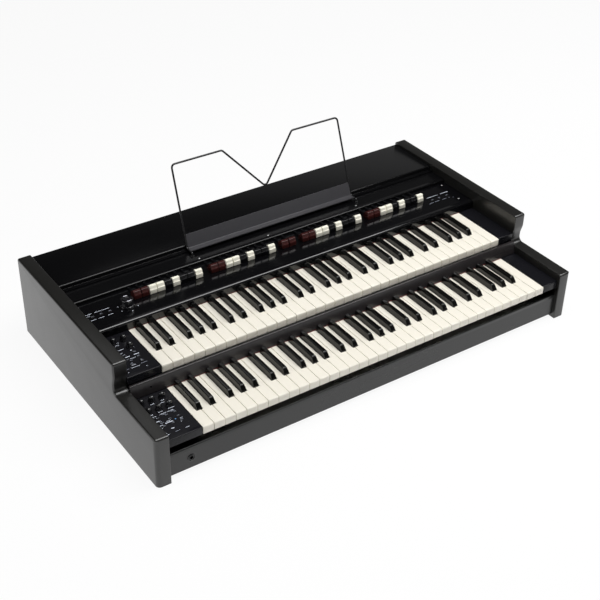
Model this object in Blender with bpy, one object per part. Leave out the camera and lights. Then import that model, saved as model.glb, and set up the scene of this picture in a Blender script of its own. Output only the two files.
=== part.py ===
"""A two-manual drawbar organ, modelled in metres with +Z up.

The player sits on the -Y side. The origin is on the floor, under the middle of the cabinet.
Two wooden cheeks carry every cross piece between them: a base board, two key beds, the rails
under the keys, the drawbar panel, the shelf behind it, the lid and the back panel. The lowest
octave of the lower manual has single keys, and the other keys are moulded in combs, each on a
round hinge strip at its rear. Likewise the first set of drawbars slides one by one, and the
others are joined by a cross bar.
"""
import math

import bmesh
import bpy
from mathutils import Vector

# Running and seating clearances
SEAT_GAP = 0.0003
KEY_GAP = 0.0010
SHAFT_GAP = 0.0003
SLOT_GAP = 0.0005

# How far a cutter reaches past the wall that it cuts
OVERCUT = 0.0050

# Key combs: 61 notes from C to C on each manual
NATURAL_PITCH = 0.0235
OCTAVES = 5
NATURAL_DEPTH = 0.0158
NATURAL_EDGE = 0.0025
HEAD_LENGTH = 0.0474
KEY_SHOW = 0.1360
SHARP_WIDTH = 0.0116
SHARP_TOP_WIDTH = 0.0094
SHARP_RISE = 0.0120
SHARP_SLOPE = 0.0080
SHARP_FOOT = 0.0002
SHARP_BODY = 0.0130
SHARP_BACK = 0.0010
SHARP_ARM = 0.0028
SHARP_ARM_DROP = 0.0006
SHARP_SHIFTS = {1: -0.0028, 2: 0.0028, 4: -0.0038, 5: 0.0, 6: 0.0038}
HINGE_BACK = 0.1950
HINGE_RADIUS = 0.0050
HINGE_DROP = 0.0098
HINGE_STEP = 0.0150
HINGE_SIDES = 8
TAIL_SEAT = 0.0040
NATURAL_NAMES = ("c", "d", "e", "f", "g", "a", "b")
SHARP_NAMES = {1: "c_sharp", 2: "d_sharp", 4: "f_sharp", 5: "g_sharp", 6: "a_sharp"}

# The two manuals: how far back the keys' fronts are, and how high their tops
LOWER_FRONT = 0.0060
LOWER_TOP = 0.0947
MANUAL_STEP = 0.1500
MANUAL_RISE = 0.0441

# Cabinet
DEPTH = 0.5870
CHEEK = 0.0290
CHEEK_OVER_LOWER = 0.0178
CHEEK_OVER_LID = 0.0060
CHEEK_BEFORE_UPPER = 0.0020
CHEEK_UNDERCUT = 0.0060
CHEEK_COVE = 0.0100
CHEEK_WAIST = 0.0060
CHEEK_BROW = 0.0260
CHEEK_CORNER = 0.0050
CHEEK_EDGE = 0.0042
CHEEK_FRONT_EDGE = 0.0090
CHEEK_INNER_EDGE = 0.0015
CORNER_STEPS = 3
LEFT_BLOCK = 0.0725
RIGHT_BLOCK = 0.0415
SHEET = 0.0025
BEND = 0.0005
BOARD = 0.0120
FLOOR_GAP = 0.0095
FRONT_RAIL_BACK = 0.0082
FRONT_RAIL_FLANGE = 0.0220

# Key beds
BED_DROP = 0.0347
BED_INSET = 0.0010
LEDGE_FRONT = 0.1915
LEDGE_DEPTH = 0.0360
BED_SHEET = 0.0020

# Middle rail and drawbar panel with its fascia
RAIL_LIFT = 0.0015
RAIL_LEAN = 0.0070
RAIL_UNDER_UPPER = 0.0163
RAIL_BEFORE_UPPER = 0.0016
RAIL_BROW = 0.0020
RAIL_CHAMFER = 0.0005
PANEL_OVER_UPPER = 0.0192
FASCIA_LEAN = 0.0012
PANEL_EDGE = 0.0055

# Shelf and lid
SHELF_BEHIND_CAPS = 0.0270
SHELF_OVER_PANEL = 0.0070
SHELF_SHOW = 0.0540
SHELF_SHEET = 0.0020
SHELF_BEHIND_BAR = 0.0100
LID_OVER_SHELF = 0.0120
LID_SHEET = 0.0020
LID_FLANGE = 0.0090
LID_REAR_FLANGE = 0.0120
LID_INSET = 0.0020

# Drawbars
DRAWBAR_PITCH = 0.0177
DRAWBAR_SETS = (0.1270, 0.3060, 0.5340, 0.7100)
DRAWBARS_IN_SET = 9
PAIR_START = 0.4815
PAIR_PITCH = 0.0187
CAP_BEHIND_FASCIA = 0.0580
CAP_WIDTH = 0.0162
CAP_DEPTH = 0.0200
CAP_LIFT = 0.0009
CAP_SHOULDER = 0.0016
STEM_WIDTH = 0.0045
STEM_HEIGHT = 0.0034
STEM_LENGTH = 0.1280
CROSS_BAR_DEPTH = 0.0120
CROSS_BAR_HEIGHT = 0.0042

# A cap from front to back: how deep each section's foot and top are, and how high its top is
CAP_SECTIONS = ((0.0000, 0.0040, 0.0146), (0.0004, 0.0054, 0.0160), (0.0040, 0.0095, 0.0179),
                (0.0090, 0.0150, 0.0141), (0.0200, 0.0200, 0.0097))

# Control blocks: a housing with a front lip that overhangs like the keys beside it
BLOCK_WALL = 0.0030
BLOCK_INSET = 0.0012
BLOCK_PROUD = 0.0003
BLOCK_LIP = 0.0170
BLOCK_OVERHANG = 0.0240
BLOCK_EDGE = 0.0015

# Knobs: places are from the left cheek's inner face, and from their manual's or the fascia's front
KNOB_RADIUS = 0.0072
KNOB_HEIGHT = 0.0130
KNOB_SHAFT = 0.0030
KNOB_REACH = 0.0100
KNOB_SKIRT = 0.0015
KNOB_STEP = 0.0030
KNOB_GRIP = 0.88
KNOB_NECK = 0.70
KNOB_CROWN = 0.42
KNOB_DOME = 0.78
KNOB_SIDES = 12
VIBRATO_RADIUS = 0.0150
VIBRATO_HEIGHT = 0.0180
VIBRATO_SIDES = 20
VIBRATO_PLACE = (0.0980, 0.0510)
UPPER_KNOBS = ((0.0270, 0.1120), (0.0490, 0.1120), (0.0490, 0.0850))
LOWER_KNOBS = ((0.0085, 0.1170), (0.0300, 0.1170), (0.0515, 0.1170),
               (0.0085, 0.0885), (0.0300, 0.0885), (0.0515, 0.0885))

# Buttons, each group a moulded rubber mat under its windows: columns, then rows from the same fronts
BUTTON_SIZE = (0.0080, 0.0050)
BUTTON_RISE = 0.0012
MAT_SHEET = 0.0015
MAT_BORDER = 0.0030
UPPER_BUTTONS = ((0.0270, 0.0490), (0.0670, 0.0510, 0.0350))
LOWER_BUTTONS = ((0.0150, 0.0330, 0.0510), (0.0670, 0.0540, 0.0410))
LEFT_BUTTONS = ((0.0220, 0.0410, 0.0600), (0.0530,))
RIGHT_BUTTONS = ((0.0790, 0.0590, 0.0370), (0.0530,))

# Music stand: one bent wire in an M and a folded ledge
STAND_MIDDLE = 0.5080
STAND_FEET = 0.4280
STAND_TOPS = 0.4220
STAND_NECK = 0.1780
STAND_WIRE = 0.0023
STAND_BEFORE_LID = 0.0050
STAND_OVER_SHELF = 0.0065
STAND_RISE = 0.1715
STAND_DIP_RISE = 0.0745
STAND_LEAN = 0.0600
STAND_FOOT = 0.0220
STAND_PIN = 0.0170
STAND_BEND = 0.0080
STAND_FOOT_BEND = 0.0035
HOLDER_RADIUS = 0.0048
HOLDER_HEIGHT = 0.0026
STAND_PLATE = 0.0290
STAND_LEDGE = 0.0170
STAND_LIP = 0.0030
STAND_SHEET = 0.0015

# Front and rear sockets
JACK_RADIUS = 0.0033
JACK_COLLAR = 0.0080
JACK_BARREL = 0.0045
JACK_RIM = 0.0018
JACK_DEPTH = 0.0160
HEADPHONE = (0.0468, 0.0334)
PLATE_SIZE = (0.3400, 0.0640)
PLATE_MIDDLE = (0.0, 0.0880)
INLET_SIZE = (0.0270, 0.0200)
INLET_PLACE = -0.1400
INLET_DEPTH = 0.0160
SWITCH_SIZE = (0.0130, 0.0200)
SWITCH_PLACE = -0.1050
SWITCH_GAP = 0.0010
SWITCH_DEPTH = 0.0150
SWITCH_AXIS = 0.0060
SWITCH_CROWN = 0.0070
SWITCH_BULGE = 0.0005
SWITCH_BELLY = 0.0050
SWITCH_SHOULDER = 0.0010
SWITCH_PIN = 0.0012
SWITCH_TIP = 0.94
SWITCH_TAPER = 0.62
SWITCH_TILT = 0.1571
JACK_PLACES = (-0.0700, -0.0480, -0.0260, -0.0040, 0.0180, 0.0400)
REAR_JACK_DEPTH = 0.0200
DIN_PLACES = (0.0720, 0.1000)
DIN_RADIUS = 0.0076
DIN_DEPTH = 0.0090
USB_SIZE = (0.0090, 0.0085)
USB_PLACE = 0.1300
USB_DEPTH = 0.0120
SOCKET_WALL = 0.0022

# Parts inside the cabinet: each block on the board has its place, width, depth and height
BOARD_SIZE = (0.3200, 0.1500, 0.0016)
BOARD_PLACE = (-0.1500, 0.1100)
BOARD_PARTS = ((-0.1100, 0.0300, 0.0600, 0.0500, 0.0300), (-0.0200, 0.0200, 0.0280, 0.0280, 0.0030),
               (0.0500, 0.0200, 0.0280, 0.0280, 0.0030), (0.1200, 0.0000, 0.0140, 0.0900, 0.0090),
               (-0.0200, -0.0480, 0.0900, 0.0100, 0.0110))
POST_RADIUS = 0.0040
POST_HEIGHT = 0.0100

# Worked out from the sizes above: across
NATURALS = 7 * OCTAVES + 1
KEYBOARD = NATURALS * NATURAL_PITCH
INNER = LEFT_BLOCK + KEYBOARD + RIGHT_BLOCK
WIDTH = INNER + 2 * CHEEK
LEFT = -INNER / 2
RIGHT = INNER / 2
KEYS_LEFT = LEFT + LEFT_BLOCK

# From front to back
FRONT = -DEPTH / 2
UPPER_FRONT = LOWER_FRONT + MANUAL_STEP
CHEEK_NOSE = UPPER_FRONT - CHEEK_BEFORE_UPPER
FASCIA_FRONT = UPPER_FRONT + KEY_SHOW
CAP_FRONT = FASCIA_FRONT + CAP_BEHIND_FASCIA
SHELF_FRONT = CAP_FRONT + CAP_DEPTH + SHELF_BEHIND_CAPS
STEM_BACK = CAP_FRONT + STEM_LENGTH
SHELF_BACK = STEM_BACK + CROSS_BAR_DEPTH + SHELF_BEHIND_BAR
LID_FRONT = SHELF_FRONT + SHELF_SHOW
STAND_BACK = LID_FRONT - STAND_BEFORE_LID
LID_BACK = DEPTH - LID_INSET

# From the floor up
BED_TOP = LOWER_TOP - BED_DROP
UPPER_TOP = LOWER_TOP + MANUAL_RISE
RAIL_TOP = UPPER_TOP - RAIL_UNDER_UPPER
PANEL_TOP = UPPER_TOP + PANEL_OVER_UPPER
SHELF_TOP = PANEL_TOP + SHELF_OVER_PANEL
LID_TOP = SHELF_TOP + LID_OVER_SHELF
BACK_TOP = LID_TOP - LID_REAR_FLANGE - SEAT_GAP
CHEEK_LOW = LOWER_TOP + CHEEK_OVER_LOWER
CHEEK_HIGH = LID_TOP + CHEEK_OVER_LID
STAND_BASE = SHELF_TOP + STAND_OVER_SHELF
STAND_TIP = STAND_BASE + STAND_RISE
STAND_DIP = STAND_BASE + STAND_DIP_RISE

COLOURS = {
    "cabinet": ((0.020, 0.020, 0.022), 0.45, 0.0),
    "rail": ((0.075, 0.075, 0.080), 0.50, 0.0),
    "panel": ((0.012, 0.012, 0.014), 0.12, 0.0),
    "sheet": ((0.035, 0.035, 0.038), 0.40, 0.2),
    "ivory": ((0.86, 0.84, 0.78), 0.22, 0.0),
    "ebony": ((0.015, 0.015, 0.016), 0.15, 0.0),
    "brown": ((0.080, 0.028, 0.024), 0.25, 0.0),
    "rubber": ((0.030, 0.030, 0.032), 0.70, 0.0),
    "steel": ((0.55, 0.55, 0.56), 0.35, 1.0),
    "chrome": ((0.80, 0.80, 0.80), 0.10, 1.0),
    "circuit": ((0.03, 0.16, 0.07), 0.50, 0.0),
    "inside": ((0.30, 0.30, 0.31), 0.55, 0.3),
}


def back(distance):
    """The Y of a place this far behind the cheeks' front."""
    return FRONT + distance


def along(distance):
    """The X of a place this far right of the left cheek's inner face."""
    return LEFT + distance


def material(name):
    """The named finish as a Principled material, made once."""
    if name in bpy.data.materials:
        return bpy.data.materials[name]
    colour, roughness, metallic = COLOURS[name]
    made = bpy.data.materials.new(name)
    made.use_nodes = True
    shader = made.node_tree.nodes["Principled BSDF"]
    shader.inputs["Base Color"].default_value = (*colour, 1.0)
    shader.inputs["Roughness"].default_value = roughness
    shader.inputs["Metallic"].default_value = metallic
    return made


def arc(centre, radius, start, end, steps):
    """Points on an arc in a plane, from one angle to another in degrees."""
    angles = [math.radians(start + (end - start) * i / steps) for i in range(steps + 1)]
    return [(centre[0] + radius * math.cos(a), centre[1] + radius * math.sin(a)) for a in angles]


def add_prism_x(bm, outline, x_low, x_high):
    """Add a YZ outline extruded from one X to another."""
    lows = [bm.verts.new((x_low, y, z)) for y, z in outline]
    highs = [bm.verts.new((x_high, y, z)) for y, z in outline]
    faces = [bm.faces.new(lows), bm.faces.new(highs[::-1])]
    for i in range(len(outline)):
        j = (i + 1) % len(outline)
        faces.append(bm.faces.new((lows[j], lows[i], highs[i], highs[j])))
    bmesh.ops.recalc_face_normals(bm, faces=faces)
    return faces


def add_prism_z(bm, outline, z_low, z_high):
    """Add an XY outline extruded from one height to another."""
    lows = [bm.verts.new((x, y, z_low)) for x, y in outline]
    highs = [bm.verts.new((x, y, z_high)) for x, y in outline]
    faces = [bm.faces.new(lows[::-1]), bm.faces.new(highs)]
    for i in range(len(outline)):
        j = (i + 1) % len(outline)
        faces.append(bm.faces.new((lows[i], lows[j], highs[j], highs[i])))
    bmesh.ops.recalc_face_normals(bm, faces=faces)
    return faces


def add_box(bm, low, high):
    """Add a box between two corners."""
    corners = [(low[0], low[1]), (high[0], low[1]), (high[0], high[1]), (low[0], high[1])]
    return add_prism_z(bm, corners, low[2], high[2])


def add_loft(bm, sections):
    """Add a solid through closed sections that all have as many points, with both ends closed."""
    rings = [[bm.verts.new(point) for point in section] for section in sections]
    faces = [bm.faces.new(rings[0][::-1]), bm.faces.new(rings[-1])]
    for near, far in zip(rings, rings[1:]):
        for i in range(len(near)):
            j = (i + 1) % len(near)
            faces.append(bm.faces.new((near[i], near[j], far[j], far[i])))
    bmesh.ops.recalc_face_normals(bm, faces=faces)
    return faces


def add_turned(bm, profile, centre, axis, sides):
    """Add a solid turned about an axis through centre, from (radius, height) points, top last."""
    turn = Vector((0, 0, 1)).rotation_difference(Vector(axis)).to_matrix()
    rings = []
    for radius, height in profile:
        ring = []
        for i in range(sides):
            angle = 2 * math.pi * i / sides
            local = Vector((radius * math.cos(angle), radius * math.sin(angle), height))
            ring.append(Vector(centre) + turn @ local)
        rings.append(ring)
    return add_loft(bm, rings)


def add_cylinder(bm, centre, axis, radius, start, end, sides=16):
    """Add a cylinder about an axis, from one distance along it to another."""
    return add_turned(bm, [(radius, start), (radius, end)], centre, axis, sides)


def sheet_outline(path, thickness):
    """The outline of a bent sheet: a path in a plane, thickened to its left with mitred bends."""
    inner = []
    for i, point in enumerate(path):
        here = Vector(point)
        before = (here - Vector(path[i - 1])).normalized() if i > 0 else None
        after = (Vector(path[i + 1]) - here).normalized() if i + 1 < len(path) else None
        before = before or after
        after = after or before
        normal_before = Vector((-before.y, before.x))
        normal_after = Vector((-after.y, after.x))
        mitre = (normal_before + normal_after).normalized()
        inner.append(here + mitre * thickness / mitre.dot(normal_after))
    return [tuple(p) for p in path] + [tuple(p) for p in reversed(inner)]


def round_corner(before, corner, after, radius, steps):
    """The points of a path's corner rounded to a radius, in two or three dimensions."""
    corner = Vector(corner)
    to_before = (Vector(before) - corner).normalized()
    to_after = (Vector(after) - corner).normalized()
    half = to_before.angle(to_after) / 2
    reach = radius / math.tan(half)
    centre = corner + (to_before + to_after).normalized() * radius / math.sin(half)
    start = corner + to_before * reach - centre
    end = corner + to_after * reach - centre
    sweep = start.angle(end)
    points = []
    for i in range(steps + 1):
        share = i / steps
        point = (start * math.sin((1 - share) * sweep) + end * math.sin(share * sweep)) / math.sin(sweep)
        points.append(tuple(centre + point))
    return points


def round_path(points, radii, steps):
    """A path with its inner corners rounded, all to one radius or each to its own."""
    if not isinstance(radii, list):
        radii = [radii] * (len(points) - 2)
    path = [tuple(points[0])]
    for before, corner, after, radius in zip(points, points[1:], points[2:], radii):
        path += round_corner(before, corner, after, radius, steps)
    return path + [tuple(points[-1])]


def add_wire(bm, path, radius, sides=8):
    """Add a round wire along a path, its rings carried from one point to the next without twist."""
    points = [Vector(p) for p in path]
    tangents = []
    for i in range(len(points)):
        first = points[max(i - 1, 0)]
        last = points[min(i + 1, len(points) - 1)]
        tangents.append((last - first).normalized())
    side = tangents[0].orthogonal().normalized()
    rings = []
    for point, tangent in zip(points, tangents):
        side = (side - tangent * side.dot(tangent)).normalized()
        up = tangent.cross(side)
        angles = [2 * math.pi * i / sides for i in range(sides)]
        rings.append([point + (side * math.cos(a) + up * math.sin(a)) * radius for a in angles])
    add_loft(bm, rings)


def finish(name, bm, finish_name, origin=(0, 0, 0)):
    """Turn the shape into the named object, with its origin at the given place."""
    mesh = bpy.data.meshes.new(name)
    bm.to_mesh(mesh)
    bm.free()
    made = bpy.data.objects.new(name, mesh)
    bpy.context.scene.collection.objects.link(made)
    mesh.materials.append(material(finish_name))
    move_origin(made, origin)
    made.parent = bpy.data.objects["organ"]
    return made


def move_origin(made, origin):
    """Put the object's origin at a place without moving its shape."""
    shift = Vector(origin) - made.location
    for vertex in made.data.vertices:
        vertex.co -= shift
    made.location = origin


def combine(target, bm, operation):
    """Cut a shape from the object, or join it on, and keep the result as the object's mesh."""
    mesh = bpy.data.meshes.new("tool")
    bmesh.ops.translate(bm, verts=bm.verts, vec=-target.location)
    bm.to_mesh(mesh)
    bm.free()
    tool = bpy.data.objects.new("tool", mesh)
    tool.location = target.location
    tool.parent = target.parent
    bpy.context.scene.collection.objects.link(tool)
    modifier = target.modifiers.new("combine", "BOOLEAN")
    modifier.operation = operation
    modifier.solver = "EXACT"
    modifier.object = tool
    scene_state = bpy.context.evaluated_depsgraph_get()
    result = bpy.data.meshes.new_from_object(target.evaluated_get(scene_state))
    target.modifiers.clear()
    target.data = result
    bpy.data.objects.remove(tool)


def smooth(made, angle=40):
    """Shade the object smooth, apart from edges sharper than the angle."""
    made.data.shade_smooth()
    made.data.set_sharp_from_angle(angle=math.radians(angle))


# Cheeks

def cheek_outline():
    """The stepped side outline: a low front part and a high rear part with a hollowed nose."""
    nose = back(CHEEK_NOSE)
    foot = nose + CHEEK_UNDERCUT - CHEEK_COVE
    low_front = arc((back(CHEEK_CORNER), CHEEK_LOW - CHEEK_CORNER), CHEEK_CORNER, 180, 90, CORNER_STEPS)
    hollow = arc((foot, CHEEK_LOW + CHEEK_COVE), CHEEK_COVE, -90, 0, 4)
    brow_height = CHEEK_HIGH - CHEEK_BROW
    waist_height = CHEEK_LOW + CHEEK_COVE + CHEEK_WAIST
    sway = []
    for i in range(1, 6):
        share = i / 6
        blend = share * share * (3 - 2 * share)
        height = waist_height + (brow_height - waist_height) * share
        sway.append((nose + CHEEK_UNDERCUT * (1 - blend), height))
    brow = arc((nose + CHEEK_CORNER, CHEEK_HIGH - CHEEK_CORNER), CHEEK_CORNER, 180, 90, 3)
    rear = arc((back(DEPTH) - CHEEK_CORNER, CHEEK_HIGH - CHEEK_CORNER), CHEEK_CORNER, 90, 0, 3)
    points = [(back(0), 0)] + low_front + hollow + sway + [(nose, brow_height)] + brow + rear
    return points + [(back(DEPTH), 0)]


def drawn_in(outline, edges, share):
    """A clockwise outline moved inward by this share of each point's edge, and along the floor at z 0."""
    moved = []
    for i, ((y, z), edge) in enumerate(zip(outline, edges)):
        before = Vector(outline[i - 1])
        after = Vector(outline[(i + 1) % len(outline)])
        way = (after - before).normalized()
        inward = Vector((way.y, -way.x))
        if z == 0:
            inward = Vector((math.copysign(1, inward.x), 0))
        moved.append((y + inward.x * edge * share, z + inward.y * edge * share))
    return moved


def make_cheek(name, side):
    """One wooden cheek: its outer edges are rounded, the front upright the most, and its inner ones eased."""
    inner = side * INNER / 2
    outline = cheek_outline()
    outer_edges = [CHEEK_EDGE] * len(outline)
    for i in range(CORNER_STEPS + 1):
        share = 1 - max(i - 1, 0) / CORNER_STEPS
        outer_edges[i] = CHEEK_EDGE + (CHEEK_FRONT_EDGE - CHEEK_EDGE) * share
    inner_edges = [CHEEK_INNER_EDGE] * len(outline)
    sections = []
    for edges, start, way, steps in ((outer_edges, CHEEK, -1, 3), (inner_edges, 0, 1, 1)):
        turns = [math.pi / 2 * i / steps for i in range(steps + 1)]
        for turn in turns if way < 0 else reversed(turns):
            flat = drawn_in(outline, edges, 1 - math.sin(turn))
            depths = [start + way * edge * (1 - math.cos(turn)) for edge in edges]
            sections.append([(inner + side * depth, y, z) for (y, z), depth in zip(flat, depths)])
    bm = bmesh.new()
    add_loft(bm, sections)
    made = finish(name, bm, "cabinet", (inner, FRONT, 0))
    smooth(made, 30)
    return made


# Case between the cheeks

def make_sheet(name, path, thickness, finish_name):
    """A sheet bent along X, spanning the cheeks."""
    bm = bmesh.new()
    add_prism_x(bm, sheet_outline(path, thickness), LEFT + SEAT_GAP, RIGHT - SEAT_GAP)
    made = finish(name, bm, finish_name, (LEFT, path[0][0], path[0][1]))
    smooth(made, 30)
    return made


def make_base_board():
    """The board that closes the cabinet below, between the front rail and the back panel."""
    bm = bmesh.new()
    low = (LEFT + SEAT_GAP, back(FRONT_RAIL_BACK) + SHEET + SEAT_GAP, FLOOR_GAP)
    high = (RIGHT - SEAT_GAP, back(LID_BACK) - BOARD - SEAT_GAP, FLOOR_GAP + BOARD)
    add_box(bm, low, high)
    finish("base_board", bm, "cabinet", low)


def make_front_rail():
    """The folded rail in front, with a flange that runs back under the keys, and the socket's hole."""
    front = back(FRONT_RAIL_BACK)
    path = [(front, FLOOR_GAP), (front, BED_TOP), (front + FRONT_RAIL_FLANGE, BED_TOP)]
    path = round_path(path, SHEET + BEND, 3)
    rail = make_sheet("front_rail", path, -SHEET, "rail")
    bm = bmesh.new()
    centre = (along(HEADPHONE[0]), front, HEADPHONE[1])
    add_cylinder(bm, centre, (0, 1, 0), JACK_BARREL + SEAT_GAP, -OVERCUT, OVERCUT, 20)
    combine(rail, bm, "DIFFERENCE")


def make_headphone_socket():
    """The front socket: a collar on the rail, a barrel through it and a hole for a plug."""
    bm = bmesh.new()
    centre = (along(HEADPHONE[0]), back(FRONT_RAIL_BACK), HEADPHONE[1])
    profile = [(JACK_BARREL, -JACK_DEPTH - SHEET), (JACK_BARREL, SEAT_GAP), (JACK_COLLAR, SEAT_GAP),
               (JACK_COLLAR, JACK_RIM)]
    add_turned(bm, profile, centre, (0, -1, 0), 20)
    socket = finish("headphone_socket", bm, "steel", centre)
    hole = bmesh.new()
    add_cylinder(hole, centre, (0, 1, 0), JACK_RADIUS, -OVERCUT, JACK_DEPTH, 16)
    combine(socket, hole, "DIFFERENCE")
    smooth(socket)


def make_back_panel():
    """The rear board with the opening for the socket plate."""
    bm = bmesh.new()
    low = (LEFT + SEAT_GAP, back(LID_BACK) - BOARD, FLOOR_GAP)
    high = (RIGHT - SEAT_GAP, back(LID_BACK), BACK_TOP)
    add_box(bm, low, high)
    panel = finish("back_panel", bm, "cabinet", low)
    hole = bmesh.new()
    half_width = PLATE_SIZE[0] / 2 + SEAT_GAP
    half_height = PLATE_SIZE[1] / 2 + SEAT_GAP
    add_box(hole, (PLATE_MIDDLE[0] - half_width, low[1] - OVERCUT, PLATE_MIDDLE[1] - half_height),
            (PLATE_MIDDLE[0] + half_width, high[1] + OVERCUT, PLATE_MIDDLE[1] + half_height))
    combine(panel, hole, "DIFFERENCE")


def make_lid():
    """The folded lid: a rear flange, the top, and a front that drops and turns forward on the shelf."""
    foot = SHELF_TOP + SEAT_GAP
    path = [(back(LID_FRONT - LID_FLANGE), foot + LID_SHEET), (back(LID_FRONT), foot + LID_SHEET),
            (back(LID_FRONT), LID_TOP), (back(LID_BACK), LID_TOP), (back(LID_BACK), BACK_TOP + SEAT_GAP)]
    path = path[:2] + round_path(path[1:], LID_SHEET + BEND, 3)[1:]
    make_sheet("lid", path, -LID_SHEET, "sheet")


def stand_pin_places():
    """Where the music stand's pins go down through the shelf's top face."""
    reach = STAND_FEET / 2
    depth = back(STAND_BACK - STAND_FOOT)
    return [(along(STAND_MIDDLE) + side * reach, depth, SHELF_TOP) for side in (-1, 1)]


def add_pin_holes(bm, height):
    """Add the cutters for the music stand's pins through a sheet about this high."""
    for x, y, _ in stand_pin_places():
        add_cylinder(bm, (x, y, height), (0, 0, 1), STAND_WIRE + SHAFT_GAP, -OVERCUT, OVERCUT, 12)


def make_shelf():
    """The shelf that the lid and the music stand rest on, with a slotted lip over the drawbars."""
    path = [(back(SHELF_BACK), SHELF_TOP), (back(SHELF_FRONT), SHELF_TOP),
            (back(SHELF_FRONT), PANEL_TOP + SEAT_GAP)]
    path = round_path(path, SHELF_SHEET + BEND, 3)
    shelf = make_sheet("stand_shelf", path, SHELF_SHEET, "sheet")
    holders = bmesh.new()
    for centre in stand_pin_places():
        add_cylinder(holders, centre, (0, 0, 1), HOLDER_RADIUS, -SHELF_SHEET / 2, HOLDER_HEIGHT, 14)
    combine(shelf, holders, "UNION")
    slots = bmesh.new()
    half = STEM_WIDTH / 2 + SLOT_GAP
    top = PANEL_TOP + SEAT_GAP + STEM_HEIGHT + SLOT_GAP
    for x in drawbar_places():
        add_box(slots, (x - half, back(SHELF_FRONT) - OVERCUT, PANEL_TOP - OVERCUT),
                (x + half, back(SHELF_FRONT) + SHELF_SHEET + SLOT_GAP, top))
    combine(shelf, slots, "DIFFERENCE")
    holes = bmesh.new()
    add_pin_holes(holes, SHELF_TOP)
    combine(shelf, holes, "DIFFERENCE")


def make_drawbar_panel():
    """The glossy panel under the drawbars, bent down in front into the fascia over the upper keys."""
    foot = (back(FASCIA_FRONT), UPPER_TOP + RAIL_LIFT)
    path = [(back(SHELF_BACK), PANEL_TOP), (foot[0] + FASCIA_LEAN, PANEL_TOP), foot]
    panel = make_sheet("drawbar_panel", round_path(path, PANEL_EDGE, 4), SHEET, "panel")
    cuts = bmesh.new()
    centre = (along(VIBRATO_PLACE[0]), back(FASCIA_FRONT + VIBRATO_PLACE[1]), PANEL_TOP)
    add_shaft_hole(cuts, centre)
    add_pin_holes(cuts, PANEL_TOP)
    for x, y in button_places(LEFT_BUTTONS, FASCIA_FRONT) + right_button_places():
        add_window(cuts, x, y, PANEL_TOP)
    combine(panel, cuts, "DIFFERENCE")


def make_middle_rail():
    """The rail between the manuals: a face that leans back from the lower keys to a rounded top."""
    foot = back(LOWER_FRONT + KEY_SHOW)
    rear = back(UPPER_FRONT - RAIL_BEFORE_UPPER)
    low = LOWER_TOP + RAIL_LIFT
    brow = (foot + RAIL_LEAN + RAIL_BROW, RAIL_TOP - RAIL_BROW)
    outline = [(rear, low), (foot, low)] + arc(brow, RAIL_BROW, 165, 90, 3)
    outline += [(rear - RAIL_CHAMFER, RAIL_TOP), (rear, RAIL_TOP - RAIL_CHAMFER)]
    bm = bmesh.new()
    add_prism_x(bm, outline, LEFT + SEAT_GAP, RIGHT - SEAT_GAP)
    made = finish("middle_rail", bm, "cabinet", (LEFT, foot, low))
    smooth(made, 30)


def make_key_bed(name, front, top, legs_to=None):
    """A folded steel bed: a floor under the keys and a raised ledge under their hinge strips."""
    floor = top - BED_DROP
    ledge = top - HINGE_DROP - HINGE_RADIUS - SEAT_GAP
    start = back(front + BED_INSET)
    if legs_to is not None:
        start = back(FRONT_RAIL_BACK + FRONT_RAIL_FLANGE) + SEAT_GAP
    step = back(front + LEDGE_FRONT)
    end = step + LEDGE_DEPTH
    path = [(start, floor), (step, floor), (step, ledge), (end, ledge)]
    if legs_to is not None:
        path = [(start, legs_to)] + path + [(end, legs_to)]
    else:
        path = path + [(end, floor - BED_SHEET)]
    make_sheet(name, path, -BED_SHEET, "inside")


# Control blocks

def add_window(bm, x, y, top):
    """Add the cutter for one button's window through a wall whose outer face is at top."""
    half_width = BUTTON_SIZE[0] / 2 + SEAT_GAP
    half_depth = BUTTON_SIZE[1] / 2 + SEAT_GAP
    add_box(bm, (x - half_width, y - half_depth, top - OVERCUT),
            (x + half_width, y + half_depth, top + OVERCUT))


def add_shaft_hole(bm, centre):
    """Add the cutter for a knob's shaft through the wall whose outer face is at centre."""
    add_cylinder(bm, centre, (0, 0, 1), KNOB_SHAFT + SHAFT_GAP, -OVERCUT, OVERCUT, 12)


def button_places(group, front):
    """The middles of a group's buttons, from its columns and its rows behind a front."""
    columns, rows = group
    return [(along(column), back(front + row)) for row in rows for column in columns]


def right_button_places():
    """The middles of the buttons at the panel's right end."""
    return [(-x, y) for x, y in button_places(RIGHT_BUTTONS, FASCIA_FRONT)]


def make_block(name, x_low, x_high, front, top, knobs=(), buttons=None):
    """One end block of a manual: a housing open below, with a front lip and holes for its controls."""
    low = (x_low + SEAT_GAP, back(front + BLOCK_INSET), top - BED_DROP + SEAT_GAP)
    high = (x_high - SEAT_GAP, back(front + LEDGE_FRONT) - SEAT_GAP, top + BLOCK_PROUD)
    lip = high[2] - BLOCK_LIP
    step = low[1] + BLOCK_OVERHANG
    outline = [(low[1], high[2]), (high[1], high[2]), (high[1], low[2]), (step, low[2]), (step, lip),
               (low[1], lip)]
    outline = round_corner(outline[-1], outline[0], outline[1], BLOCK_EDGE, 3) + outline[1:]
    bm = bmesh.new()
    add_prism_x(bm, outline, low[0], high[0])
    block = finish(name, bm, "cabinet", low)
    smooth(block, 30)
    cuts = bmesh.new()
    add_box(cuts, (low[0] + BLOCK_WALL, low[1] + BLOCK_WALL, low[2] - OVERCUT),
            (high[0] - BLOCK_WALL, high[1] - BLOCK_WALL, high[2] - BLOCK_WALL))
    combine(block, cuts, "DIFFERENCE")
    if knobs or buttons:
        openings = bmesh.new()
        for place in knobs:
            add_shaft_hole(openings, (along(place[0]), back(front + place[1]), high[2]))
        for x, y in button_places(buttons, front):
            add_window(openings, x, y, high[2])
        combine(block, openings, "DIFFERENCE")
    return high[2]


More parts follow.
